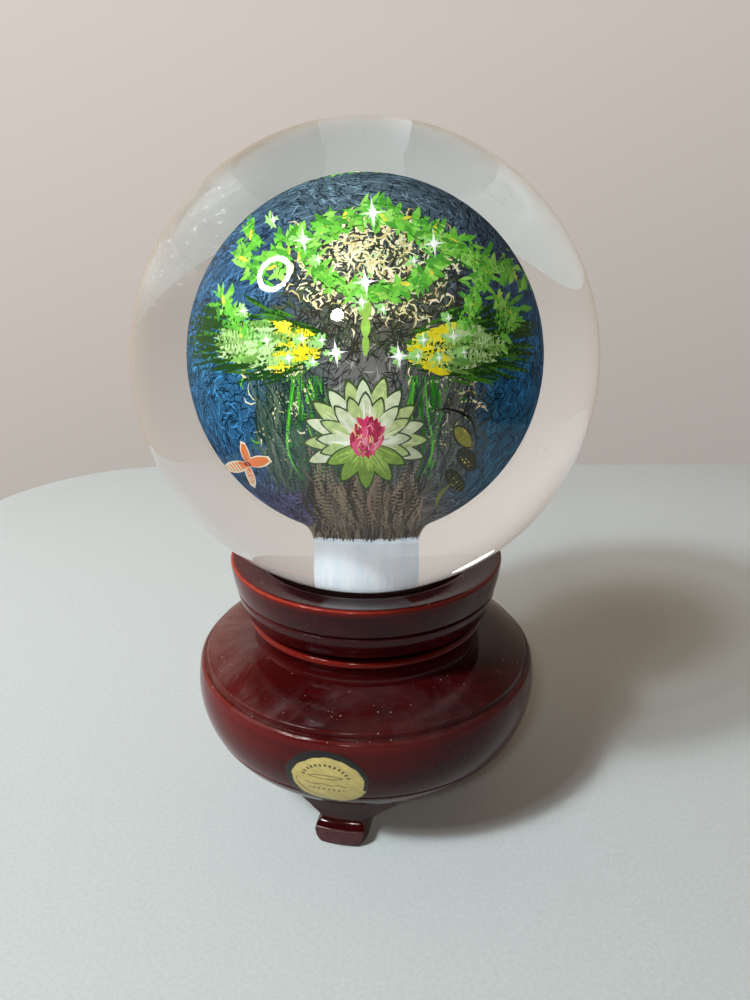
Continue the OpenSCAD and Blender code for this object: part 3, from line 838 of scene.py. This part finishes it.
def blossom(brush, panel, x, y, size_):
    """An open flower seen from the side: pale petals round a magenta heart."""
    pale = [((58, 78, 50), (196, 208, 176), (240, 244, 228)),
            ((66, 84, 50), (172, 192, 128), (226, 232, 196))]
    for ring, (count, reach, wide) in enumerate(((13, 0.36, 3.6), (11, 0.27, 3.0))):
        for i in rng.permutation(count):
            angle = 90 + (i - (count - 1) / 2) * (230 / count) + rng.uniform(-3, 3)
            petal(brush, panel, x, y, angle, reach * size_ * rng.uniform(0.93, 1.05), wide * size_,
                  pale[(i + ring) % 2], 0.004 * i + 0.07 * ring)
    for i, angle in enumerate((205, 335, 235, 305, 270)):
        green = ((40, 74, 30), (128, 164, 66), (168, 200, 98))
        petal(brush, panel, x, y - 0.02, angle, 0.24 * size_, 3.2 * size_, green, 0.14 + 0.004 * i)
    for i in range(int(70 * size_)):
        a = rng.uniform(0, 360)
        r = math.sqrt(rng.random()) * 0.085 * size_
        px, py = x + r * math.cos(math.radians(a)), y + r * math.sin(math.radians(a)) * 1.15
        rose = [(178, 24, 74), (204, 48, 100), (150, 16, 60), (222, 84, 128)][rng.integers(4)]
        brush.dab(panel, px, py, 90 + rng.uniform(-40, 40), 0.075, 1.1, jitter(rose), raised=0.18)


def heart_lights(brush, panel, x, y):
    for i in range(26):
        a = rng.uniform(0, 2 * math.pi)
        r = rng.uniform(0.02, 0.08)
        rose = (240, 150, 180) if i % 3 else (238, 206, 130)
        brush.dab(panel, x + r * math.cos(a), y + r * math.sin(a), 90 + rng.uniform(-60, 60), 0.05, 0.3,
                  jitter(rose), 40, raised=0.2)


def star(brush, panel, x, y, size_):
    """A four-pointed sparkle with short diagonal rays."""
    white = np.array(lin(250, 252, 255))
    for angle, reach, width in ((0, 1.0, 0.6), (90, 1.2, 0.6), (45, 0.5, 0.4), (135, 0.5, 0.4)):
        a = math.radians(angle + 6)
        dx, dy = math.cos(a) * reach * size_, math.sin(a) * reach * size_
        brush.stroke(panel, [(x - dx, y - dy), (x, y), (x + dx, y + dy)], width * size_ * 17, white,
                     shape=2.0, tip=(0.04, 0.04), shade=0, raised=0.03)
    brush.dab(panel, x - size_ * 0.3, y, 0, size_ * 0.6, size_ * 17, white, shape=0.6, shade=0, raised=0.04)


def glow_dots(brush, panel, x, y, size_):
    """Pale green-white bloom under a sparkle."""
    for px, py in ellipse_points(12, x - 0.015, y, size_ * 0.6, size_ * 0.6):
        brush.dab(panel, px, py, rng.uniform(0, 360), 0.035, 0.7, jitter((150, 206, 120), 0.06))


def seed_pod(brush, panel, x, y):
    """Three ochre lobes in a row, on a dark ground, with a stalk above and a root below."""
    for dx, dy, w in ((0.0, 0.0, 2.6), (0.025, -0.13, 2.8), (-0.045, -0.25, 2.3)):
        px, py = x + dx, y + dy
        brush.dab(panel, px - 0.05, py + 0.05, -50, 0.15, w + 0.8, jitter((38, 40, 26)), shape=0.5)
        brush.dab(panel, px - 0.045, py + 0.045, -50, 0.14, w, jitter((142, 138, 62)), shape=0.5)
        for _ in range(5):
            brush.dab(panel, px + rng.uniform(-0.05, 0.0), py + rng.uniform(-0.02, 0.05), -50, 0.07, 0.4,
                      jitter((196, 184, 98)))
    stalk = [(x - 0.2, y + 0.13), (x - 0.08, y + 0.15), (x + 0.05, y + 0.08), (x + 0.08, y - 0.1)]
    root = [(x - 0.06, y - 0.27), (x - 0.13, y - 0.34), (x - 0.16, y - 0.42)]
    brush.stroke(panel, stalk, 0.5, lin(24, 26, 24))
    brush.stroke(panel, root, 1.2, lin(128, 128, 66))


def small_flower(brush, panel, x, y, lean, body, light):
    """Four rounded petals with a pale edge."""
    for i in range(4):
        angle = lean + 90 * i
        brush.dab(panel, x, y, angle, 0.13, 2.7, lin(238, 226, 200), tip=(0.3, 0.5), shape=0.5, shade=0.02)
    for i in range(4):
        angle = lean + 90 * i
        brush.dab(panel, x, y, angle, 0.118, 2.2, jitter(body, 0.06), tip=(0.3, 0.5), shape=0.5)
        for _ in range(3):
            brush.dab(panel, x, y, angle + rng.uniform(-14, 14), 0.1, 0.3, jitter(light, 0.1))
    brush.dab(panel, x - 0.02, y, 0, 0.04, 1.2, lin(96, 44, 24), shape=0.5)


CREAM = [(226, 216, 168), (238, 230, 196), (198, 186, 128), (204, 214, 170)]
TENDRIL = [(64, 132, 44), (98, 170, 62), (198, 210, 150), (226, 230, 190)]
BROWN = [(70, 60, 50), (96, 84, 70), (126, 112, 96), (52, 46, 40), (148, 134, 112)]
ARCH = [(-0.52, 0.52), (-0.36, 0.66), (-0.14, 0.76), (0.06, 0.8), (0.24, 0.75), (0.46, 0.64), (0.66, 0.52)]
KNOT = [(54, 52, 42), (70, 82, 58), (44, 56, 46)]
MOSS = [(40, 64, 60), (58, 84, 72), (30, 52, 48), (88, 104, 90)]
STONE = [(84, 88, 86), (60, 72, 70), (104, 108, 104), (46, 58, 58)]
BLADE = [(56, 150, 40), (86, 176, 52), (40, 110, 34)]
SWAG = [(-0.34, 0.62), (-0.24, 0.48), (-0.06, 0.39), (0.14, 0.39), (0.32, 0.46), (0.42, 0.58)]

# Small side bands: path and width
SPRIGS = [
    ([(-0.62, 0.7), (-0.66, 0.56), (-0.56, 0.46)], 0.07),
    ([(-0.78, 0.34), (-0.72, 0.2), (-0.64, 0.12)], 0.08),
    ([(0.66, 0.5), (0.6, 0.3), (0.56, 0.14)], 0.08),
    ([(0.66, 0.5), (0.82, 0.48), (0.92, 0.44)], 0.06),
    ([(0.74, 0.34), (0.82, 0.24), (0.76, 0.14)], 0.045),
]


def foliage():
    """Undergrowth: dark knots of strokes, curls, tendrils and strands."""
    brush = Brush(0.052)
    for px, py in ellipse_points(420, 0.04, 0.42, 0.52, 0.36):
        brush.dab(FRONT, px, py, rng.uniform(0, 360), 0.1, 0.5, pick(KNOT), rng.uniform(-90, 90))
    strands(brush, FRONT, 150, (-0.42, 0.0), (-0.3, -0.75), 0.22, 0.2, MOSS, 0.7, 0.04)
    strands(brush, FRONT, 150, (0.42, 0.0), (0.32, -0.75), 0.22, 0.2, STONE, 0.7, 0.04)
    strands(brush, FRONT, 230, (0.0, -0.45), (0.0, -1.04), 0.36, 0.24, BROWN, 0.75, 0.03)
    curls(brush, FRONT, 190, 0.04, 0.5, 0.5, 0.3, CREAM)
    curls(brush, FRONT, 90, 0.03, 0.6, 0.24, 0.12, CREAM, 1.2)
    curls(brush, FRONT, 70, -0.5, -0.2, 0.2, 0.3, CREAM + TENDRIL)
    curls(brush, FRONT, 80, 0.46, -0.2, 0.2, 0.3, CREAM + TENDRIL)
    curls(brush, BACK, 160, 0.0, 0.3, 0.7, 0.5, CREAM + TENDRIL, 1.1)
    strands(brush, BACK, 160, (0.0, -0.3), (0.0, -1.04), 0.5, 0.26, BROWN, 0.8, 0.03)
    for side in (-1, 1):
        for _ in range(26):
            x = side * rng.uniform(0.26, 0.42)
            points = [(x, -0.08), (x + rng.normal(0, 0.03), -0.3), (x + rng.normal(0, 0.04), -0.5),
                      (x - side * 0.03, -0.68)]
            brush.stroke(FRONT, points[:rng.integers(2, 5)], rng.uniform(0.4, 0.9), pick(BLADE))
    return brush


def leaves():
    brush = Brush(0.064)
    feather_leaf(brush, FRONT, -1, -0.2, 0.08, 0.74, 0.15)
    feather_leaf(brush, FRONT, 1, 0.2, 0.06, 0.66, 0.15)
    feather_leaf(brush, BACK, -1, -0.1, 0.1, 0.7, 0.16, 0.7)
    feather_leaf(brush, BACK, 1, 0.1, 0.1, 0.7, 0.16, 0.7)
    for panel in (FRONT, BACK):
        leafy_band(brush, panel, ARCH, 0.075)
    leafy_band(brush, FRONT, SWAG, 0.05)
    for path, width in SPRIGS:
        leafy_band(brush, FRONT, path, width)
    for panel, path, width in ((FRONT, ARCH, 0.085), (BACK, ARCH, 0.085), (FRONT, SWAG, 0.06)):
        band_edges(brush, panel, path, width)
    return brush


def flowers():
    brush = Brush(0.078)
    blossom(brush, FRONT, 0.0, -0.46, 1.0)
    blossom(brush, BACK, 0.0, -0.2, 1.1)
    seed_pod(brush, FRONT, 0.56, -0.42)
    small_flower(brush, FRONT, -0.68, -0.58, 12, (214, 118, 66), (170, 78, 40))
    small_flower(brush, BACK, 0.62, -0.5, 30, (214, 118, 66), (170, 78, 40))
    heart_lights(brush, FRONT, 0.0, -0.45)
    for i in range(3):
        brush.dab(FRONT, 0.0, 0.36 - 0.1 * i, 270, 0.13, 2.4 - 0.5 * i, jitter((150, 196, 84)), shape=0.7)
    return brush


# Sparkles: place in the picture's disc, and reach
STARS = [
    (0.04, 0.80, 0.075), (-0.34, 0.66, 0.06), (0.38, 0.64, 0.065), (0.0, 0.44, 0.075), (-0.17, 0.05, 0.07),
    (0.19, 0.03, 0.07), (-0.36, 0.13, 0.035), (-0.44, 0.02, 0.035), (-0.56, 0.12, 0.035), (-0.3, 0.0, 0.03),
    (-0.25, 0.12, 0.03), (0.33, 0.12, 0.035), (0.42, 0.02, 0.03), (0.5, 0.14, 0.04), (0.3, 0.03, 0.025),
    (0.47, 0.24, 0.025), (0.56, 0.05, 0.025), (0.1, 0.29, 0.03), (-0.02, 0.33, 0.04), (-0.5, 0.76, 0.03),
    (0.27, 0.55, 0.03), (-0.26, 0.56, 0.03), (-0.68, 0.28, 0.03),
]


def sparkles():
    brush = Brush(0.092)
    places = [(FRONT, *mark) for mark in STARS] + [(BACK, *mark) for mark in STARS[:4] + STARS[6:14]]
    for shape in (glow_dots, star):
        for panel, x, y, reach in places:
            shape(brush, panel, x, y, reach)
    return brush


def ragged_end():
    """The lower edge of the paint, dragged unevenly over the start of the neck bore."""
    brush = Brush(0.05)
    for turn in np.linspace(0, 2 * math.pi, 170, endpoint=False):
        turn += rng.normal(0, 0.02)
        polar = np.linspace(END_S - 3, END_S + rng.uniform(0.1, 0.8), 7) / CAVITY_R
        d = np.stack([np.sin(polar) * math.cos(turn), np.sin(polar) * math.sin(turn), np.cos(polar)], 1)
        brush.along(d, rng.uniform(0.5, 1.2), pick(BROWN), tip=(0.8, 0.15))
    return brush


def painting():
    material = painted()
    paint_ground(material)
    layers = {"hatching": hatching, "hatching_fine": hatching, "foliage": foliage, "leaves": leaves,
              "flowers": flowers, "sparkles": sparkles, "edge": ragged_end}
    for name, layer in layers.items():
        layer().piece("paint_" + name, material)


# ---------------------------------------------------------------- stand

def cup():
    foot = CUP_FOOT_R
    outside = ([(foot - 0.8, CUP_Z)] + bow((foot - 0.4, CUP_Z + 0.1), (foot + 0.2, CUP_Z + 0.8), 0.15)
               + bow((foot + 0.3, CUP_Z + 1.2), (foot + 1.9, CUP_Z + 6.7), 0.25)
               + [(foot + 1.1, CUP_Z + 7.0)] + bow((foot + 2.1, CUP_Z + 7.6), (CUP_R, RIM_Z - 0.9), 0.2)
               + bow((CUP_R, RIM_Z - 0.8), (CUP_R - 1.0, RIM_Z), 0.28)
               + bow((CUP_R - 1.4, RIM_Z), (SEAT_MOUTH_R + 0.6, LIP_Z), -0.25))
    start = math.degrees(math.asin((LIP_Z - BALL_Z) / SEAT_R))
    end = math.degrees(-math.acos(WELL_R / SEAT_R))
    seat = [(r, z + BALL_Z) for r, z in arc((0, 0), SEAT_R, start, end, 40)]
    inside = [(WELL_R, WELL_Z), (HEAD_R, WELL_Z), (HEAD_R, HEAD_SEAT_Z), (PIVOT_HOLE_R, HEAD_SEAT_Z),
              (PIVOT_HOLE_R, CUP_Z), (RACE_IN, CUP_Z), (RACE_IN, CUP_Z + 1.1),
              (RACE_OUT, CUP_Z + 1.1), (RACE_OUT, CUP_Z)]
    profile = rounded(outside + seat + inside, 0.17)
    obj = revolve("cup_turned", profile, "turntable", "cup")
    edges = ((CUP_R - 0.35, RIM_Z - 0.35, 0.6, 0.7), (SEAT_MOUTH_R, LIP_Z, 0.3, 0.2))
    # Brighter red ring under the rim: thinner lacquer and a painted highlight
    thin_and_lit_rings = ((CUP_R - 0.3, RIM_Z - 0.6, 1.8, 0.45),)
    wear(obj, lacquer("lacquer_cup", edges, thin_and_lit_rings, dust=0.05, haze_and_sheen=0.06))


def neck():
    edge, top, low = NECK_R, NECK_TOP, DECK_Z - 0.5
    outside = ([(edge - 1.6, low), (edge - 1.6, DECK_Z)]
               + bow((edge - 1.2, DECK_Z + 0.1), (edge - 0.5, top - 2.4), -0.9)
               + bow((edge - 0.1, top - 1.8), (edge - 1.0, top), 0.4))
    inside = [(RACE_OUT, top), (RACE_OUT, top - 1.7), (RACE_IN, top - 1.7), (RACE_IN, top),
              (BUSH_FLANGE_R, top), (BUSH_FLANGE_R, top - 1), (BUSH_R, top - 1), (BUSH_R, low)]
    obj = revolve("neck_turned", rounded(outside + inside, 0.1), "stand", "neck")
    # Brighter red ring near the top: thinner lacquer and a painted highlight
    edges, thin_and_lit_rings = ((edge - 0.35, top - 0.8, 0.8, 0.2),), ((edge - 0.3, top - 1.0, 1.7, 0.4),)
    wear(obj, lacquer("lacquer_neck", edges, thin_and_lit_rings))


def belly(scored=True):
    """Profile of the body from its foot to the shoulder groove, with the scored line near its foot."""
    points = (bow((BODY_R - 10, BODY_Z), (BODY_R - 2.8, BODY_Z + 7.4), 0.8)
              + bow((BODY_R - 2.8, BODY_Z + 7.4), (BODY_R - 1.0, BODY_Z + 26.4), 1.764, 60))
    if not scored:
        return points
    score_r = np.interp(SCORE_Z, [z for r, z in points], [r for r, z in points])
    points = [(r, z) for r, z in points if abs(z - SCORE_Z) > 0.3] + [(score_r - 0.42, SCORE_Z)]
    return sorted(points, key=lambda point: point[1])


def body():
    edge = BODY_R
    dome_end = (NECK_R - 1.6, DECK_Z)
    bead_out, bead_in = (edge - 2.9, BODY_Z + 28.1), (edge - 3.7, BODY_Z + 29.0)
    outside = (belly() + [(edge - 1.7, BODY_Z + 27.1), (edge - 2.5, BODY_Z + 27.1)]
               + bow(bead_out, bead_in, 0.25) + bow(bead_in, dome_end, 1.1, 30)
               + [(dome_end[0], DECK_Z - 0.5)])
    inside = [(BUSH_R, DECK_Z - 0.5), (BUSH_R, NUT_ROOM_TOP),
              (NUT_ROOM_R, NUT_ROOM_TOP), (NUT_ROOM_R, BODY_Z)]
    obj = revolve("body_turned", rounded(outside + inside, 0.14), "stand", "body")
    edges = ((edge - 3.2, BODY_Z + 28.6, 0.35, 0.1), (edge - 1.4, BODY_Z + 26.8, 0.5, 0.15))
    # Brighter red rings at the shoulder and belly: thinner lacquer and a painted highlight
    thin_and_lit_rings = ((edge - 0.8, BODY_Z + 25.6, 2.0, 0.35), (edge - 0.1, BODY_Z + 22.0, 5.0, 0.15))
    wear(obj, lacquer("lacquer_body", edges, thin_and_lit_rings, dust=0.12, haze_and_sheen=0.2))


def carved_foot(node):
    """A foot with its sawn edges rubbed round."""
    obj = bpy.data.objects.new(node + "_carved", nodes[node].data.copy())
    bpy.context.scene.collection.objects.link(obj)
    bm = bmesh.new()
    bm.from_mesh(obj.data)
    bmesh.ops.remove_doubles(bm, verts=bm.verts, dist=0.002 * MM)
    bm.to_mesh(obj.data)
    bm.free()
    remesh = obj.modifiers.new("remesh", "REMESH")
    remesh.mode, remesh.voxel_size = "VOXEL", 0.28 * MM
    smooth = obj.modifiers.new("smooth", "SMOOTH")
    smooth.factor, smooth.iterations = 0.5, 5
    mesh = bpy.data.meshes.new_from_object(obj.evaluated_get(bpy.context.evaluated_depsgraph_get()))
    obj.modifiers.clear()
    obj.data = mesh
    mesh.polygons.foreach_set("use_smooth", [True] * len(mesh.polygons))
    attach(obj, "stand")
    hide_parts(node)
    return obj


def feet():
    edges = ((40.4, 5.0, 0.5, 0.3),)
    look = lacquer("lacquer_feet", edges, dust=0.03, matte_toe=True, shine=0.5)
    for node in ("foot_front", "foot_right", "foot_left"):
        wear(carved_foot(node), look)


def label():
    """Oval gold label with an uneven black border and a plain ornament, bent round the belly."""
    rings, spokes = 70, 280
    t = np.linspace(0, 2 * math.pi, spokes, endpoint=False)
    rim = 1 + 0.006 * np.sin(3 * t + 0.6) + 0.004 * np.sin(7 * t)
    flat = [(0.0, 0.0)]
    for i in range(1, rings + 1):
        s = i / rings
        flat += list(zip(s * rim * np.cos(t), s * rim * np.sin(t)))
    flat = np.array(flat)
    u, v = flat[:, 0], flat[:, 1]
    profile = np.array(belly(scored=False))
    z = LABEL_Z + v * LABEL_H / 2 * 0.985
    surface_r = np.interp(z, profile[:, 1], profile[:, 0])
    crease = 0.05 * np.exp(-((v - 0.25 * u - 0.12) / 0.03) ** 2)
    crease += 0.04 * np.exp(-((u + 0.3 * v - 0.42) / 0.025) ** 2)
    crease += 0.02 * np.sin(9 * u + 4 * v) * np.sin(7 * v - 3 * u) ** 2
    edge_lift = 0.05 * np.clip((np.hypot(u, v) - 0.93) / 0.07, 0, 1)
    half_w = LABEL_W / 2 * 0.985
    a = LABEL_TURN + u * half_w / surface_r
    top = np.stack([np.cos(a), np.sin(a)], 1) * (surface_r + 0.11 + crease * 0.6 - edge_lift)[:, None]
    low = np.stack([np.cos(a), np.sin(a)], 1) * (surface_r + 0.01)[:, None]
    verts = np.vstack([np.c_[top, z], np.c_[low, z]])
    n = len(flat)
    faces = [(0, 1 + j, 1 + (j + 1) % spokes) for j in range(spokes)]
    for i in range(rings - 1):
        for j in range(spokes):
            k = (j + 1) % spokes
            p, q = 1 + i * spokes, 1 + (i + 1) * spokes
            faces.append((p + j, q + j, q + k, p + k))
    faces += [tuple(n + v_ for v_ in f[::-1]) for f in faces]
    rim_of = [1 + (rings - 1) * spokes + j for j in range(spokes)]
    faces += [(q, p, n + p, n + q) for p, q in zip(rim_of, rim_of[1:] + rim_of[:1])]
    obj = make("label_oval", verts, faces, "stand", "label")
    outward(obj)
    colour = label_print(u, v)
    paint_points(obj, np.vstack([colour, colour]))
    wear(obj, label_paper())


def label_print(u, v):
    """Linear colours of the label: black border, gold field, rules and dots."""
    rho, turn = np.hypot(u, v), np.degrees(np.arctan2(v, u))
    gold, black = np.array(lin(190, 173, 104)), np.array(lin(18, 16, 14))
    wave = 0.012 * np.sin(np.radians(turn * 5)) + 0.008 * np.sin(np.radians(turn * 13 + 40))
    inner = 0.86 + 0.07 * np.cos(np.radians(turn + 62)) + wave
    inner = np.where((turn > -75) & (turn < -20), 1.02, inner)
    blotch = 1 + 0.08 * np.sin(8 * u + 3) * np.sin(11 * v + 1) + 0.05 * np.sin(23 * u + 17 * v)
    colour = gold[None, :] * blotch[:, None]
    ink = np.zeros(len(u))
    ring = np.abs(rho - 0.72) < 0.012
    beads = (np.abs(rho - 0.56) < 0.055) & (np.abs((turn % 12) - 6) < 3.4) & (turn > 8) & (turn < 172)
    beads &= np.hypot((rho - 0.56) / 0.05, ((turn % 12) - 6) / 3.2) < 1
    rule = (np.abs(v + 0.16 + 0.02 * np.sin(16 * u)) < 0.014) & (np.abs(u) < 0.5)
    dots = (np.hypot((u % 0.12) - 0.06, (v + 0.36) * 0.8) < 0.03) & (np.abs(u) < 0.42)
    leaf = np.abs(np.abs(v - 0.14) - 0.07 * np.cos(u * 3.4)) < 0.014
    leaf &= np.abs(u) < 0.4
    ink[beads | rule | dots | leaf | (ring & (turn < -95))] = 0.85
    ink[rho > inner] = 1.0
    return colour * (1 - ink[:, None]) + black * ink[:, None]


def felt_pad():
    """Felt ring in the seat, with a slightly uneven, fuzzy surface."""
    low, high = BALL_R + 0.12, SEAT_R - 0.03
    start, end = -math.degrees(math.acos(29.9 / high)), -math.degrees(math.acos(20.6 / high))
    back = arc((0, 0), high, start, end, 60)
    front = arc((0, 0), low, end, start, 90)
    profile = np.array([(r, z + BALL_Z) for r, z in back + front])
    obj = revolve("felt_pad", profile, "turntable", "felt_ring", 320)
    co = np.array([v.co for v in obj.data.vertices]) / MM
    from_ball = co - (0, 0, BALL_Z)
    dist = np.linalg.norm(from_ball, axis=1)
    fuzz = rng.uniform(0, 0.07, len(co)) * (dist < low + 0.5)
    co += from_ball / dist[:, None] * fuzz[:, None]
    obj.data.vertices.foreach_set("co", (co * MM).astype(np.float32).ravel())
    wear(obj, felt())


def carried_over():
    """Materials for the CAD nodes that stay."""
    zinc = metal("zinc_steel", lin(150, 152, 156), lin(196, 198, 202), 0.28)
    bright = metal("bearing_steel", lin(176, 178, 182), lin(214, 216, 220), 0.10)
    brass = metal("brass", lin(178, 138, 66), lin(222, 184, 104), 0.22)
    for names, look in ((("pivot_bolt", "pivot_washer", "lock_nut", "base_screws"), zinc),
                        (("upper_race", "lower_race", "bearing_balls"), bright),
                        (("bearing_cage", "pivot_bush"), brass),
                        (("foot_dowels",), dowel_wood()),
                        (("base_plate",), lacquer("lacquer_plate", ((42.0, 18.6, 0.6, 0.3),)))):
        for name in names:
            mesh = nodes[name].data
            if not mesh.materials:
                mesh.materials.append(look)
            for i in range(len(mesh.materials)):
                mesh.materials[i] = look


# ---------------------------------------------------------------- floor, light and camera

def table_top():
    """Pale rounded table top. Its left and far edges show behind the ball."""
    left, right, near, far, corner, thick = -245.0, 430.0, -1200.0, 324.0, 110.0, 18.0
    outline = []
    for x, y, start in ((right - corner, far - corner, 0), (left + corner, far - corner, 90),
                        (left + corner, near + corner, 180), (right - corner, near + corner, 270)):
        outline += arc((x, y), corner, start, start + 90, 24)
    n = len(outline)
    verts = [(x, y, z) for z in (0.0, -thick) for x, y in outline]
    faces = [tuple(range(n)), tuple(range(n, 2 * n))[::-1]]
    faces += [(i, (i + 1) % n, n + (i + 1) % n, n + i) for i in range(n)]
    obj = make("table_top", verts, faces, None, None, smooth=False)
    outward(obj)
    k = Look("table_top")
    colour = k.mix(k.step(k.noise(900, 3, 0.6), 0.3, 0.7), lin(205, 211, 210), lin(213, 219, 218))
    # Painted shade: the top is darker towards the front and lighter towards the back
    colour = k.vec("SCALE", colour, scale=k.step(k.xyz(k.coords)[1], -0.15, 0.24, 0.87, 1.1))
    normal = k.bump(k.noise(1400, 3, 0.6), 0.00004, 0.5)
    wear(obj, k.finish(k.principled(Base_Color=colour, Roughness=0.55, Normal=normal)))


def world():
    """A pale room, brighter on the left. Camera and glass see its walls; the rest is lit from behind."""
    k = Look("soft_room", "worlds", "OutputWorld", "Generated")
    bpy.context.scene.world = k.owner
    x, y, z = k.xyz(k.coords)
    height = k.ramp(z, -0.32, 0.2, 0.78, 1.08)
    behind = k.math("MULTIPLY", k.step(y, -0.5, 0.1), k.step(z, 0.85, 0.45))
    light = k.mix(behind, lin(74, 56, 42), lin(194, 178, 160))
    light_side = k.math("MULTIPLY", k.ramp(x, -1.0, 1.0, 1.6, 0.5), height)
    wall_side = k.math("MULTIPLY", k.ramp(x, -1.0, 1.0, 1.28, 0.74), height)
    lighting = k.node("Background", Color=light, Strength=light_side)
    walls = k.node("Background", Color=lin(198, 190, 183), Strength=wall_side)
    k.finish(k.join(k.rays("Camera", "Transmission"), lighting, walls))


RING_PLACE = (-0.618, -0.459, 0.854)
RING_R, RING_TUBE = 116.0, 19.0
SMALL_PLACE = (-0.1646, -0.6806, 0.5642)
BALL_CENTRE = Vector((0, 0, BALL_Z * MM))


def aim_at_ball(obj, place):
    """Puts an object at a place, with its -Z towards the centre of the ball."""
    obj.location = place
    obj.rotation_mode = "QUATERNION"
    obj.rotation_quaternion = (BALL_CENTRE - obj.location).to_track_quat("-Z", "Y")


def ring_lamp():
    """Soft ring-shaped lamp, in front on the left. It shows in the glass and lights it."""
    turns = 2 * math.pi * np.arange(14) / 14
    section = [(RING_R + RING_TUBE * math.cos(a), 0.5 * RING_TUBE * math.sin(a)) for a in turns]
    obj = revolve("ring_lamp", section, None, None, 96)
    aim_at_ball(obj, RING_PLACE)
    obj.visible_camera = False
    k = Look("ring_lamp")
    wear(obj, k.finish(k.node("Emission", Color=(0.93, 0.97, 1.0), Strength=58.0)))


def area_light(name, place, width, power, colour):
    lamp = bpy.data.lights.new(name, "AREA")
    lamp.shape, lamp.size, lamp.energy, lamp.color = "DISK", width, power, colour
    obj = bpy.data.objects.new(name, lamp)
    bpy.context.scene.collection.objects.link(obj)
    aim_at_ball(obj, place)
    return obj


def lights():
    """The ring and a small lamp show in the glass. The key light adds the ring's light, unseen."""
    ring_lamp()
    key = area_light("key", RING_PLACE, 0.11, 8.9, (0.85, 0.945, 1.0))
    key.visible_glossy = key.visible_transmission = False
    area_light("small_lamp", SMALL_PLACE, 0.075, 1.0, (1.0, 0.95, 0.88))


# Metres in front of the ball's centre and above it, turn in degrees, and focal length in millimetres
CAMERA_BACK, CAMERA_RISE = 0.2141, 0.0405
CAMERA_TURN = (90 - 20.66, -0.05, -0.69)
CAMERA_LENS = 27.36


def camera():
    """Camera at the photograph's height, tilt and distance."""
    data = bpy.data.cameras.new("camera")
    data.lens, data.sensor_width = CAMERA_LENS, 36.0
    obj = bpy.data.objects.new("camera", data)
    bpy.context.scene.collection.objects.link(obj)
    obj.location = (0, -CAMERA_BACK, BALL_Z * MM + CAMERA_RISE)
    obj.rotation_euler = [math.radians(turn) for turn in CAMERA_TURN]
    bpy.context.scene.camera = obj


# ---------------------------------------------------------------- all together

bpy.context.scene.view_settings.view_transform = "Standard"
camera()
glass_ball()
painting()
cup()
neck()
body()
feet()
label()
felt_pad()
carried_over()
table_top()
world()
lights()
